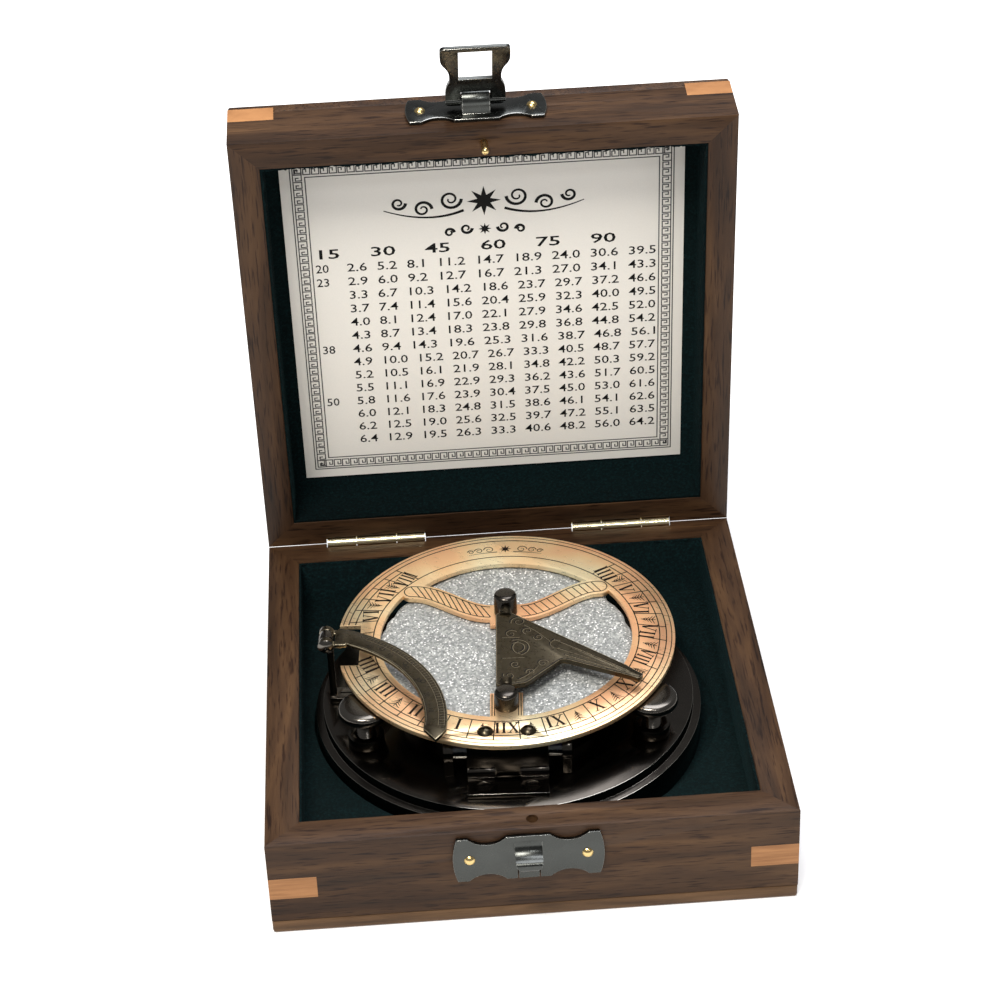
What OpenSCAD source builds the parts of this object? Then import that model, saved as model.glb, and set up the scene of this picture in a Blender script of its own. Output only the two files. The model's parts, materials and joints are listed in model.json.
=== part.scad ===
// Pocket sundial compass lying in its hinged wooden case, lid open, dial and gnomon folded down.
// Origin: centre of the case's underside. X to the right, Y to the back, Z up. Millimetres.

/* [Case] */
// Length of each side of the square case
case_side = 132; // [130:1:160]
// Height of the case body, from the table to the joint with the lid
rim_z = 28.2; // [27.8:0.1:34]
// Height of the lid above that joint
lid_h = 20; // [19.6:0.1:30]
// Thickness of the bottom board and of the lid panel
board_t = 4; // [3.4:0.1:4.4]
// Thickness of the case walls
wall_t = 8.6; // [7.6:0.1:9.2]
// Thickness of the lid walls
lid_wall_t = 7.8; // [7.2:0.1:9]
// Gap between the closed lid and the case
lid_gap = 0.2; // [0.1:0.05:0.4]
// Angle to which the lid stands open
lid_open = 85; // [75:1:92]
// Length that a corner key shows on each face
key_w = 12; // [8:0.5:14]
// Height of a corner key
key_h = 6.4; // [4:0.2:8]
// Height of the case's keys above the table, at their middle
key_z = 14.2; // [12:0.1:18]
// Depth of the lid's keys below the lid's top, at their middle
lid_key_drop = 5; // [4.5:0.1:9]

/* [Lining] */
// Thickness of the felt
felt_t = 0.5; // [0.3:0.05:0.7]
// Least width of the wood between the round well and the walls
well_margin = 2.6; // [2.1:0.1:3]
// Width of the felted ledge round the deeper hole
ledge_w = 5.9; // [5.6:0.1:6]
// Height of the ledge above the bottom board
ledge_h = 5; // [4.6:0.1:6]
// Height of the wooden well block above the bottom board
block_h = 11.1; // [9:0.1:12]
// How far the felt on the walls stays below the rim
felt_drop = 0.7; // [0.4:0.1:2]
// Distance of the card from the lid's left and right sides
card_side_gap = 4.1; // [2:0.1:12]
// Distance of the card from the lid's front side
card_front_gap = 5.2; // [2:0.1:12]
// Distance of the card from the lid's back side
card_back_gap = 4.7; // [2:0.1:12]
// Thickness of the instruction card
card_t = 0.3; // [0.2:0.05:0.6]

/* [Case hinges] */
// Length of each brass hinge
butt_len = 28; // [22:0.5:32]
// Distance of each hinge's middle from the case's side
butt_inset = 30.8; // [28:0.2:36]
// Radius of the hinge barrel
butt_r = 1.6; // [1.4:0.05:1.8]
// Radius of the hinge pin
butt_pin_r = 0.7; // [0.5:0.05:0.8]
// Width of a leaf on the back, from the hinge axis
butt_leaf_w = 7; // [6:0.1:9]
// Thickness of a leaf
butt_leaf_t = 1; // [0.9:0.05:1.2]
// Distance of each leaf screw from the hinge's middle
butt_screw_x = 8.5; // [6:0.1:9.5]
// Length of the hinge screws
butt_screw_len = 6; // [4:0.5:6.5]

/* [Catch] */
// Place of the catch along the front
catch_x = -1.4; // [-4:0.1:4]
// Width of the plate on the case
hook_plate_w = 37.5; // [34:0.5:42]
// Height of the plate on the case
hook_plate_h = 13.2; // [12:0.2:14]
// Height of that plate's middle above the table
hook_plate_z = 20; // [19.6:0.1:21]
// Width of the plate on the lid
loop_plate_w = 36.8; // [34:0.5:42]
// Height of the plate on the lid
loop_plate_h = 11.6; // [10:0.2:13]
// Height of the hasp's pivot above the lid joint
pivot_rise = 10.2; // [9.8:0.1:11]
// Thickness of the catch plates
plate_t = 1; // [0.8:0.05:1.2]
// Distance of the hasp's middle plane from the wooden front
hasp_y = 3.3; // [3.2:0.05:3.4]
// Thickness of the hasp
hasp_t = 1; // [0.9:0.05:1.4]
// Length of the hasp below its pivot
hasp_len = 21.9; // [21.4:0.1:23.4]
// Length of the hasp's foot above its pivot
hasp_foot = 1.6; // [1.2:0.1:1.7]
// Width of the hasp at its pivot
hasp_top_w = 15.6; // [14.6:0.2:17]
// Width of the hasp at its waist
hasp_waist_w = 13.4; // [12.6:0.1:14.2]
// Width of the hasp at its free end
hasp_end_w = 18; // [16:0.1:19]
// Width of the window that drops over the hook
window_w = 8.6; // [7.6:0.1:9.2]
// Height of that window
window_h = 11.2; // [8:0.1:11.6]
// Width of the bar below the window
hasp_bar = 1.5; // [1.2:0.1:2.4]
// Radius of the hasp's pivot bar
hasp_pivot_r = 1; // [0.8:0.05:1.1]
// Width of the rolled loop that holds the hasp
loop_w = 7.2; // [6:0.1:7.6]
// Free space inside the loop round the pivot bar
loop_play = 1.2; // [0.8:0.1:1.2]
// Thickness of the loop
loop_t = 1.1; // [0.9:0.1:1.2]
// Width of the hook
hook_w = 6.8; // [5.5:0.1:7]
// Height of the hook
hook_h = 6.4; // [5.8:0.1:7]
// How far the hook stands out from its plate
hook_out = 4.8; // [4.6:0.1:5.4]
// How far the hasp is turned out from its hanging place
hasp_raise = 66; // [40:1:100]
// Distance of each brass nail from the catch's middle
nail_x = 14.6; // [13.6:0.1:15.6]
// Radius of a nail's domed head
nail_head_r = 1.4; // [1.1:0.05:1.6]
// Length of a nail
nail_len = 6; // [4:0.5:7]
// Radius of the locating pin in the lid's edge
locator_r = 1; // [0.8:0.1:1.3]
// How far the locating pin stands out of the lid's edge
locator_out = 5.2; // [3:0.1:6]
// Radial play of that pin in its hole in the case
locator_play = 0.5; // [0.2:0.1:0.6]
// Distance of the locating pin behind the front
locator_inset = 3.8; // [3.4:0.1:4.2]

/* [Instrument base] */
// Place of the instrument in the well, to the right
inst_x = -2; // [-2:0.1:2]
// Place of the instrument in the well, to the back
inst_y = 0.6; // [-0.8:0.1:0.8]
// Turn of the instrument in the well
inst_turn = -3.6; // [-8:0.1:8]
// Radial play of the instrument in its well
well_play = 2.7; // [2.5:0.1:3.1]
// Width of the step outside the polished flange
rim_step = 2.1; // [1:0.1:2.3]
// Height of the step above the ledge
step_h = 8; // [7.6:0.1:8.6]
// Height of the whole base
base_h = 10.8; // [10.4:0.1:11.4]
// Thickness of the flange plate
flange_t = 3.5; // [3.3:0.1:4]
// Overhang of the base's skirt over the edge of the deeper hole
skirt_over = 0.2; // [0.1:0.1:0.8]
// Distance of the levelling screws inside the flange's edge
foot_inset = 7.3; // [7.2:0.1:7.6]
// Radius of a levelling screw's shank
shank_r = 2.5; // [2:0.1:2.7]
// Length of a levelling screw's shank below the knob
shank_len = 18.3; // [17:0.1:18.6]
// Radius of a levelling knob
knob_r = 6.9; // [6:0.1:7.1]
// Height of a levelling knob
knob_h = 4.4; // [4:0.1:4.5]
// Height of a knob's underside above the flange
knob_lift = 8.1; // [7.9:0.1:8.2]
// Radius of the boss that guides the shank
boss_r = 4.75; // [4:0.05:5.2]
// Height of the boss
boss_h = 3.1; // [2:0.1:3.4]

/* [Compass] */
// Width of the flange outside the compass bowl
bowl_inset = 18.9; // [18.8:0.1:19.6]
// Height of the bowl
bowl_h = 10.1; // [9.6:0.1:10.4]
// Thickness of the bowl's wall and floor
bowl_t = 1.2; // [1:0.1:1.4]
// Width of the seat for the glass
seat_w = 1.8; // [1.4:0.1:2]
// Thickness of the glass
glass_t = 1.5; // [1:0.1:1.6]
// Thickness of the ring that holds the glass
bezel_t = 0.8; // [0.6:0.1:1]
// Thickness of the compass card
rose_t = 0.4; // [0.3:0.1:0.6]
// Free space at each end of the needle
needle_space = 4.6; // [2:0.2:9]
// Half width of the needle
needle_w = 2.2; // [2:0.1:3]
// Thickness of the needle
needle_t = 0.4; // [0.3:0.05:0.6]
// Height of the needle above the bowl's floor
needle_rise = 5.4; // [5:0.1:5.8]
// Radius of the needle's cap
cap_r = 1.5; // [1.2:0.1:1.7]
// Radius of the pivot that carries the needle
pivot_r = 0.45; // [0.35:0.05:0.6]
// Gap between the foam over the compass and the knobs
foam_gap = 0.6; // [0.4:0.1:2]

/* [Spirit level] */
// Radius of the glass vial
vial_r = 2.6; // [2.2:0.1:2.7]
// Length of the vial
vial_l = 33; // [29:0.5:36]
// Gap between the compass bowl and the vial
vial_gap = 0.4; // [0.3:0.05:0.5]
// Height of the vial's middle above the flange
vial_rise = 7.3; // [7.2:0.1:7.6]
// Thickness of the vial's glass
vial_t = 0.6; // [0.4:0.05:0.8]
// Width of each end bracket
bracket_w = 2.6; // [2:0.1:4]

/* [Dial] */
// Distance of the dial's hinge in front of the vial's middle
axis_ahead = 2.4; // [2.3:0.1:3]
// Angle by which the folded dial is propped up
dial_lean = 2.44; // [2.2:0.02:3]
// Width of the dial's hinge
leaf_w = 20.8; // [18:0.2:23]
// Width of the middle knuckle
mid_knuckle_w = 6.4; // [5:0.1:8]
// Radius of the knuckles
knuckle_r = 2; // [1.8:0.05:2.05]
// Radius of the dial's hinge pin
dial_pin_r = 0.9; // [0.6:0.05:1.1]
// Thickness of both leaves
leaf_t = 1.2; // [1:0.05:1.3]
// Height of the ring's underside above the hinge axis
ring_rise = 10.2; // [10.1:0.05:10.6]
// How far the ring reaches in front of its hinge
ring_front = 4.1; // [3.8:0.1:4.3]
// Distance of the ring's edge inside the flange's edge
ring_inset = 4.5; // [4.2:0.1:4.9]
// Width of the hour ring
ring_band = 11.4; // [10.6:0.1:12]
// How much wider the ring is behind the curved bar
back_band = 1.6; // [0.2:0.1:2]
// Thickness of the hour ring
ring_t = 1.3; // [1.1:0.05:1.5]
// Depth of the notch in the ring's left edge
notch_depth = 6.1; // [5.8:0.1:6.6]
// Front end of the notch, from the ring's middle
notch_front = -10.8; // [-11.4:0.1:-10.4]
// Back end of the notch, from the ring's middle
notch_end = 6.2; // [5.6:0.1:8]
// Width of the curved bar across the ring
bar_w = 6.2; // [5:0.1:7]
// Distance of the bar's round ends inside the ring's inner edge
bar_end_inset = 1; // [0.4:0.1:1.4]
// Angle of those round ends behind the ring's middle
bar_angle = 38.9; // [37.5:0.1:40]
// Width of the tab that carries the front post
tab_w = 8.5; // [7:0.1:10]
// Length of that tab inside the ring
tab_l = 9.6; // [8:0.1:10.4]
// Distance of the back post behind the ring's middle
post_back = 10.4; // [9.8:0.1:10.6]
// Distance of the front post inside the ring's inner edge
post_inset = 4.6; // [3.6:0.1:4.8]
// Radius of the posts
post_r = 3.1; // [2.4:0.1:3.2]
// Height of the front post
post_h = 5.2; // [5:0.1:5.8]
// Height of the back post
back_post_h = 6.4; // [5:0.1:6.8]
// Distance of each ring screw from the middle
ring_screw_x = 5.5; // [4.6:0.1:7]

/* [Gnomon] */
// Height of the gnomon's axis above the ring
gnomon_rise = 3; // [2.95:0.05:3.4]
// Thickness of the gnomon
gnomon_t = 1.4; // [1:0.1:1.6]
// How far the gnomon's tip reaches over the ring
gnomon_over = 1.8; // [-3:0.2:3]
// Radius of the gnomon's barrels
barrel_r = 1.7; // [1.4:0.05:1.9]
// Radius of the gnomon's pins
gnomon_pin_r = 0.8; // [0.6:0.05:1]

/* [Latitude arc] */
// Distance of the arc's pivot inside the flange's edge
arc_inset = 2.1; // [1.9:0.05:2.3]
// Height of the arc's pivot above the flange
arc_rise = 19.3; // [19.2:0.05:19.6]
// Place of the pivot's middle, to the back
arc_y = -0.5; // [-0.8:0.1:0]
// How much larger the arc's inner radius is than the ring's
arc_over = 3.2; // [2.8:0.1:3.6]
// Width of the arc
arc_w = 5.8; // [5.2:0.1:7]
// Thickness of the arc
arc_t = 1.1; // [0.9:0.05:1.2]
// Distance of the arc's centre to the left of its pivot
arc_centre_x = 10; // [9.8:0.1:10.2]
// Distance of the arc's pivot outside the arc's inner edge
pivot_inset = 0.85; // [0.75:0.05:0.95]
// Radius of the arc's ears and of the post's eye
ear_r = 2; // [1.8:0.05:2.1]
// Radius of the arc's pivot pin
arc_pin_r = 0.9; // [0.7:0.05:1.1]
// Thickness of the strip that carries the arc
strip_t = 1.6; // [1.4:0.05:1.8]
// Half width of that strip
strip_w = 1.4; // [1.2:0.05:1.5]

/* [Fits] */
// Radial clearance of every pin and screw in its hole
fit = 0.05; // [0.03:0.01:0.08]
// Free space beside parts that turn past each other
side_gap = 0.2; // [0.15:0.05:0.25]
// Free space round a barrel let into the wood
barrel_gap = 0.3; // [0.2:0.05:0.4]

/* [Hidden] */
$fn = 64;
over = 1;
half = case_side / 2;
lid_top = rim_z + lid_h;
inner = half - wall_t;
lid_inner = half - lid_wall_t;
block_top = board_t + block_h;
felt_top = block_top + felt_t;
well_r = inner - well_margin - felt_t;
pit_r = well_r - ledge_w;
card_w = 2 * (lid_inner - card_side_gap);
card_d = 2 * lid_inner - card_front_gap - card_back_gap;
card_front = card_front_gap - lid_inner;
butt_x = half - butt_inset;
locator_y = half - locator_inset;
loop_r = hasp_pivot_r + loop_play + loop_t;
step_r = well_r - well_play;
flange_r = step_r - rim_step;
hollow_r = pit_r - skirt_over;
foot_r = flange_r - foot_inset;
bowl_r = flange_r - bowl_inset;
foam_r = foot_r - knob_r - foam_gap;
foam_cut_y = bowl_r + 0.2;
base_z = board_t + ledge_h + felt_t;
flange_z = base_z + base_h;
bowl_top = flange_z + bowl_h;
bezel_top = bowl_top + bezel_t;
floor_z = flange_z + bowl_t;
bowl_in_r = bowl_r - bowl_t - seat_w;
needle_l = bowl_in_r - needle_space;
vial_y = bowl_r + vial_gap + vial_r;
axis_y = vial_y + axis_ahead;
ring_r = flange_r - ring_inset;
ring_in_r = ring_r - ring_band;
ring_back = ring_r - ring_front;
notch_x = ring_r - notch_depth;
bar_x = (ring_in_r - bar_end_inset) * cos(bar_angle);
bar_end_y = (ring_in_r - bar_end_inset) * sin(bar_angle);
post_front = ring_in_r - post_inset;
gnomon_reach = ring_in_r + gnomon_over;
arc_x = flange_r - arc_inset;
arc_in_r = ring_in_r + arc_over;
arc_out_r = arc_in_r + arc_w;
arc_pivot_r = arc_in_r + pivot_inset;
needle_z = floor_z + needle_rise;
axis_z = flange_z + knuckle_r + 0.1;
ring_top = ring_rise + ring_t;
gnomon_z = ring_top + gnomon_rise;
arc_z = flange_z + arc_rise;
foot_angles = [-27, 208.5, 91];
butt_cuts = [0.3, 0.71];
butt_screw_r = 0.9;
butt_head_r = 1.7;
butt_head_h = 0.8;
post_rim = 2.6;
leaf_screw_r = 1;
leaf_head_r = 1.8;
leaf_head_h = 0.9;
leaf_reach = 8.6;
leaf_tail = 4.5;
leaf_start = knuckle_r + 0.6;
ring_screw_y = 1.7;
ring_screw_r = 1.2;
ring_head_r = 2.1;
ring_head_h = 1.2;
slot_w = 0.6;
nail_r = 0.6;
hook_gap = 0.6;
pin_head_r = 2.1;
arc_foot_l = 6.6;
arc_foot_w = 5;
arc_screw_x = 4.4;
wood = [0.42, 0.24, 0.13];
pale_wood = [0.72, 0.52, 0.32];
felt = [0.07, 0.2, 0.13];
brass = [0.8, 0.62, 0.3];
bronze = [0.24, 0.2, 0.14];
steel = [0.3, 0.3, 0.31];
copper = [0.75, 0.5, 0.33];

// Points of a curve from p to r that leaves and arrives towards q
function bend(p, q, r, n) = [
    for (i = [0:n])
        let (u = i / n)
        (1 - u) * (1 - u) * p + 2 * u * (1 - u) * q + u * u * r
];
function ease(u) = u <= 0 ? 0 : (u >= 1 ? 1 : u * u * (3 - 2 * u));

// Places
module on_lid() {
    translate([0, half, rim_z])
        rotate([-lid_open, 0, 0])
            translate([0, -half, -rim_z])
                children();
}
module on_instrument() {
    translate([inst_x, inst_y, 0])
        rotate([0, 0, inst_turn])
            children();
}
module on_dial() {
    on_instrument()
        translate([0, -axis_y, axis_z])
            rotate([dial_lean, 0, 0])
                children();
}
module at_feet(which) {
    on_instrument()
        for (i = which)
            rotate([0, 0, foot_angles[i]])
                translate([foot_r, 0, 0])
                    children();
}
module at_butts() {
    for (side = [-1, 1])
        translate([side * butt_x, half, rim_z])
            children();
}
module at_nails(z) {
    for (side = [-1, 1])
        translate([catch_x + side * nail_x, -half - plate_t, z])
            rotate([90, 0, 0])
                children();
}

// Small hardware
module dome(r, h) {
    ball_r = (r * r + h * h) / (2 * h);
    intersection() {
        translate([0, 0, h - ball_r])
            sphere(ball_r);
        cylinder(r = r, h = h);
    }
}
module countersunk(head_r, head_h, r, len, gap) {
    translate([0, 0, -head_h])
        cylinder(r1 = r + gap, r2 = head_r + gap, h = head_h);
    translate([0, 0, -len])
        cylinder(r = r + gap, h = len - head_h / 2);
}
module slot(r, depth) {
    translate([-r - over, -slot_w / 2, -depth])
        cube([2 * r + 2 * over, slot_w, depth + over]);
}
module flat_screw(head_r, head_h, r, len) {
    difference() {
        countersunk(head_r, head_h, r, len, 0);
        slot(head_r, head_h / 2);
    }
}
module round_screw(head_r, head_h, r, len) {
    difference() {
        union() {
            dome(head_r, head_h);
            translate([0, 0, -len])
                cylinder(r = r, h = len + head_h / 4);
        }
        translate([0, 0, head_h])
            slot(head_r, head_h / 2);
    }
}
module rod_x(x0, x1, r) {
    translate([x0, 0, 0])
        rotate([0, 90, 0])
            cylinder(r = r, h = x1 - x0);
}
module rod_y(y0, y1, r) {
    translate([0, y1, 0])
        rotate([90, 0, 0])
            cylinder(r = r, h = y1 - y0);
}

// Wooden case
module mitred_wall(t, h) {
    linear_extrude(h)
        polygon([[-half, -half], [half, -half], [half - t, -half + t], [-half + t, -half + t]]);
}
module keys(z) {
    for (a = [0:90:270])
        rotate([0, 0, a])
            translate([0, 0, z - key_h / 2])
                linear_extrude(key_h)
                    polygon([[half, half], [half - key_w, half], [half, half - key_w]]);
}
module case_wall(turn) {
    difference() {
        translate([0, 0, board_t])
            rotate([0, 0, turn])
                mitred_wall(wall_t, rim_z - lid_gap / 2 - board_t);
        keys(key_z);
    }
}
module lid_wall(turn) {
    difference() {
        translate([0, 0, rim_z + lid_gap / 2])
            rotate([0, 0, turn])
                mitred_wall(lid_wall_t, lid_h - lid_gap / 2 - board_t);
        keys(lid_top - lid_key_drop);
    }
}
module bottom_board() {
    color(pale_wood)
        translate([-half, -half, 0])
            cube([case_side, case_side, board_t]);
}
module front_wall() {
    color(wood)
        difference() {
            case_wall(0);
            translate([0, -locator_y, rim_z - locator_out - 0.6])
                cylinder(r = locator_r + locator_play, h = locator_out + 1);
            at_nails(hook_plate_z)
                translate([0, 0, -nail_len])
                    cylinder(r = nail_r + fit, h = nail_len);
        }
}
module back_wall() {
    color(wood)
        difference() {
            case_wall(180);
            at_butts()
                butt_mortise(-1);
        }
}
module left_wall() {
    color(wood)
        case_wall(270);
}
module right_wall() {
    color(wood)
        case_wall(90);
}
module corner_keys() {
    color(pale_wood)
        keys(key_z);
}

// Well and its felt
module well_block() {
    color(pale_wood)
        difference() {
            translate([-inner, -inner, board_t])
                cube([2 * inner, 2 * inner, block_h]);
            translate([0, 0, board_t + ledge_h])
                cylinder(r = well_r + felt_t, h = block_h);
            translate([0, 0, board_t - over])
                cylinder(r = pit_r + felt_t, h = block_h);
        }
}
module well_felt() {
    color(felt) {
        difference() {
            union() {
                translate([-inner, -inner, block_top])
                    cube([2 * inner, 2 * inner, rim_z - felt_drop - block_top]);
                translate([0, 0, board_t + ledge_h])
                    cylinder(r = well_r + felt_t, h = block_h);
                translate([0, 0, board_t])
                    cylinder(r = pit_r + felt_t, h = block_h);
            }
            translate([-inner + felt_t, -inner + felt_t, felt_top])
                cube([2 * inner - 2 * felt_t, 2 * inner - 2 * felt_t, rim_z]);
            translate([0, 0, board_t + ledge_h + felt_t])
                cylinder(r = well_r, h = rim_z);
            translate([0, 0, board_t + felt_t])
                cylinder(r = pit_r, h = rim_z);
        }
    }
}

// Case hinges, drawn about their axis
module butt_mortise(side) {
    translate([-butt_len / 2, -butt_leaf_t, side < 0 ? -butt_leaf_w : -over])
        cube([butt_len, butt_leaf_t + over, butt_leaf_w + over]);
    rod_x(-butt_len / 2 - side_gap, butt_len / 2 + side_gap, butt_r + barrel_gap);
    butt_screws(side)
        countersunk(butt_head_r, butt_head_h, butt_screw_r, butt_screw_len, fit);
}
module butt_screws(side) {
    for (x = [-butt_screw_x, butt_screw_x])
        translate([x, 0, side * (butt_leaf_w / 2 + 0.7)])
            rotate([-90, 0, 0])
                children();
}
module butt_leaf(side, own, other) {
    difference() {
        union() {
            difference() {
                translate([-butt_len / 2, -butt_leaf_t, side < 0 ? -butt_leaf_w : lid_gap / 2])
                    cube([butt_len, butt_leaf_t, butt_leaf_w - lid_gap / 2]);
                for (span = other)
                    rod_x(span[0] - side_gap / 2, span[1] + side_gap / 2, butt_r + barrel_gap);
            }
            for (span = own)
                rod_x(span[0] + side_gap / 2, span[1] - side_gap / 2, butt_r);
        }
        rod_x(-butt_len / 2 - over, butt_len / 2 + over, butt_pin_r + fit);
        butt_screws(side)
            countersunk(butt_head_r, butt_head_h, butt_screw_r, butt_screw_len, fit);
    }
}
butt_ends = [-butt_len / 2, butt_len / 2];
butt_inner = [for (c = butt_cuts) (c - 0.5) * butt_len];
butt_outer_spans = [[butt_ends[0], butt_inner[0]], [butt_inner[1], butt_ends[1]]];
butt_inner_spans = [butt_inner];
module lower_hinge_leaves() {
    color(brass)
        at_butts()
            butt_leaf(-1, butt_outer_spans, butt_inner_spans);
}
module hinge_pins() {
    color(brass)
        at_butts()
            rod_x(butt_ends[0] + side_gap, butt_ends[1] - side_gap, butt_pin_r);
}
module lower_hinge_screws() {
    color(brass)
        at_butts()
            butt_screws(-1)
                flat_screw(butt_head_r, butt_head_h, butt_screw_r, butt_screw_len);
}

// Catch
module plate_outline(w, h) {
    end_r = 1.6 * h;
    waist_r = h / 2;
    intersection() {
        difference() {
            square([w, h], center = true);
            for (x = [-w / 4 - 0.8, w / 4 + 0.8], y = [-1, 1])
                translate([x, y * (h / 2 + waist_r * 0.7)])
                    circle(waist_r);
        }
        translate([end_r - w / 2, 0])
            circle(end_r);
        translate([w / 2 - end_r, 0])
            circle(end_r);
    }
}
module catch_plate(w, h, z) {
    translate([catch_x, -half, z])
        rotate([90, 0, 0])
            linear_extrude(plate_t)
                plate_outline(w, h);
}
module hook() {
    tip = -half - plate_t - hook_out;
    root = -half - plate_t / 2;
    skin = -half - plate_t;
    inside = -half - hasp_y - hasp_t / 2 - 0.6;
    low = rim_z + pivot_rise - hasp_len + hasp_bar + hook_gap;
    high = low + hook_h;
    brow = bend([skin, high], [skin, low + 0.5 * hook_h], [tip + 1.2, low + 0.46 * hook_h], 8);
    lip = bend([tip + 1.2, low + 0.46 * hook_h], [tip, low + 0.42 * hook_h], [tip, low + 0.24 * hook_h], 5);
    chin = bend([tip, low + 0.24 * hook_h], [tip, low], [inside, low], 5);
    intersection() {
        translate([catch_x - hook_w / 2, 0, 0])
            rotate([90, 0, 90])
                linear_extrude(hook_w)
                    polygon(concat([[root, high]], brow, lip, chin, [[root, low + 0.6]]));
        translate([catch_x, -half, low + hook_w / 2])
            rotate([90, 0, 0])
                linear_extrude(plate_t + hook_out + over) {
                    circle(hook_w / 2);
                    translate([-hook_w / 2, 0])
                        square([hook_w, hook_h]);
                }
    }
}
module hook_slots() {
    low = rim_z + pivot_rise - hasp_len + hasp_bar;
    for (side = [-1, 1])
        translate([catch_x + side * (hook_w / 2 - 0.7) - 0.2, -half - plate_t - over, 0])
            cube([0.4, plate_t + 2 * over, low]);
}
module catch_hook_plate() {
    color(steel)
        difference() {
            union() {
                catch_plate(hook_plate_w, hook_plate_h, hook_plate_z);
                hook();
            }
            at_nails(hook_plate_z)
                translate([0, 0, -plate_t - over])
                    cylinder(r = nail_r + fit, h = plate_t + 2 * over);
            hook_slots();
        }
}
module nail() {
    dome(nail_head_r, nail_head_r * 0.6);
    translate([0, 0, -nail_len])
        cylinder(r = nail_r, h = nail_len + nail_head_r * 0.3);
}
module lower_catch_nails() {
    color(brass)
        at_nails(hook_plate_z)
            nail();
}

// Lid, drawn closed and then opened
module lid_panel() {
    color(wood)
        on_lid()
            difference() {
                translate([-half, -half, lid_top - board_t])
                    cube([case_side, case_side, board_t]);
                keys(lid_top - lid_key_drop);
            }
}
module lid_front_wall() {
    color(wood)
        on_lid()
            difference() {
                lid_wall(0);
                translate([0, -locator_y, rim_z])
                    cylinder(r = locator_r + fit, h = 8);
                at_nails(rim_z + pivot_rise)
                    translate([0, 0, -nail_len])
                        cylinder(r = nail_r + fit, h = nail_len);
            }
}
module lid_back_wall() {
    color(wood)
        on_lid()
            difference() {
                lid_wall(180);
                at_butts()
                    butt_mortise(1);
            }
}
module lid_left_wall() {
    color(wood)
        on_lid()
            lid_wall(270);
}
module lid_right_wall() {
    color(wood)
        on_lid()
            lid_wall(90);
}
module lid_corner_keys() {
    color(pale_wood)
        on_lid()
            keys(lid_top - lid_key_drop);
}
module lid_felt() {
    low = rim_z + felt_drop;
    top = lid_top - board_t;
    color(felt)
        on_lid()
            difference() {
                translate([-lid_inner, -lid_inner, low])
                    cube([2 * lid_inner, 2 * lid_inner, top - low]);
                translate([-lid_inner + felt_t, -lid_inner + felt_t, low - over])
                    cube([2 * lid_inner - 2 * felt_t, 2 * lid_inner - 2 * felt_t, top - felt_t - low + over]);
            }
}
module instruction_card() {
    color([0.85, 0.85, 0.86])
        on_lid()
            translate([-card_w / 2, card_front, lid_top - board_t - felt_t - card_t])
                cube([card_w, card_d, card_t]);
}
module locating_pin() {
    color(brass)
        on_lid()
            translate([0, -locator_y, rim_z + lid_gap / 2 - locator_out + locator_r]) {
                cylinder(r = locator_r, h = 8 - lid_gap / 2 + locator_out - locator_r);
                sphere(locator_r);
            }
}
module upper_hinge_leaves() {
    color(brass)
        on_lid()
            at_butts()
                butt_leaf(1, butt_inner_spans, butt_outer_spans);
}
module upper_hinge_screws() {
    color(brass)
        on_lid()
            at_butts()
                butt_screws(1)
                    flat_screw(butt_head_r, butt_head_h, butt_screw_r, butt_screw_len);
}
module catch_loop_plate() {
    z = rim_z + pivot_rise;
    color(steel)
        on_lid()
            difference() {
                union() {
                    catch_plate(loop_plate_w, loop_plate_h, z);
                    translate([catch_x, -half - hasp_y, z])
                        rod_x(-loop_w / 2, loop_w / 2, loop_r);
                    translate([catch_x - loop_w / 2, -half - hasp_y, z - loop_r])
                        cube([loop_w, hasp_y - plate_t / 2, loop_r]);
                }
                translate([catch_x, -half - hasp_y, z])
                    rod_x(-loop_w, loop_w, hasp_pivot_r + loop_play);
                at_nails(z)
                    translate([0, 0, -plate_t - over])
                        cylinder(r = nail_r + fit, h = plate_t + 2 * over);
            }
}
module upper_catch_nails() {
    color(brass)
        on_lid()
            at_nails(rim_z + pivot_rise)
                nail();
}

// Hasp, drawn hanging from its pivot
module hasp_outline() {
    corner = 1.4;
    top = hasp_top_w / 2;
    waist = hasp_waist_w / 2;
    end = hasp_end_w / 2;
    mid = [(waist + end) / 2, -0.66 * hasp_len];
    side = concat(
        bend([top - corner, hasp_foot], [top, hasp_foot], [top, hasp_foot - corner], 4),
        bend([top, -0.16 * hasp_len], [top, -0.28 * hasp_len], [waist, -0.38 * hasp_len], 6),
        bend([waist, -0.47 * hasp_len], [waist, -0.58 * hasp_len], mid, 6),
        bend(mid, [end, -0.73 * hasp_len], [end, -0.83 * hasp_len], 6),
        bend([end, corner - hasp_len], [end, -hasp_len], [end - corner, -hasp_len], 4)
    );
    count = len(side);
    polygon(concat(side, [for (i = [1:count]) [-side[count - i][0], side[count - i][1]]]));
}
module hasp() {
    color(steel)
        on_lid()
            translate([catch_x, -half - hasp_y, rim_z + pivot_rise])
                rotate([-hasp_raise, 0, 0])
                    difference() {
                        union() {
                            translate([0, hasp_t / 2, 0])
                                rotate([90, 0, 0])
                                    linear_extrude(hasp_t)
                                        hasp_outline();
                            rod_x(-hasp_top_w / 2, hasp_top_w / 2, hasp_pivot_r);
                        }
                        difference() {
                            translate([-loop_w / 2 - side_gap, -hasp_t, -loop_r - 0.8])
                                cube([loop_w + 2 * side_gap, 2 * hasp_t, loop_r + 0.8 + hasp_foot + over]);
                            rod_x(-loop_w, loop_w, hasp_pivot_r);
                        }
                        translate([-window_w / 2, -hasp_t, hasp_bar - hasp_len])
                            cube([window_w, 2 * hasp_t, window_h]);
                    }
}

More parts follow.
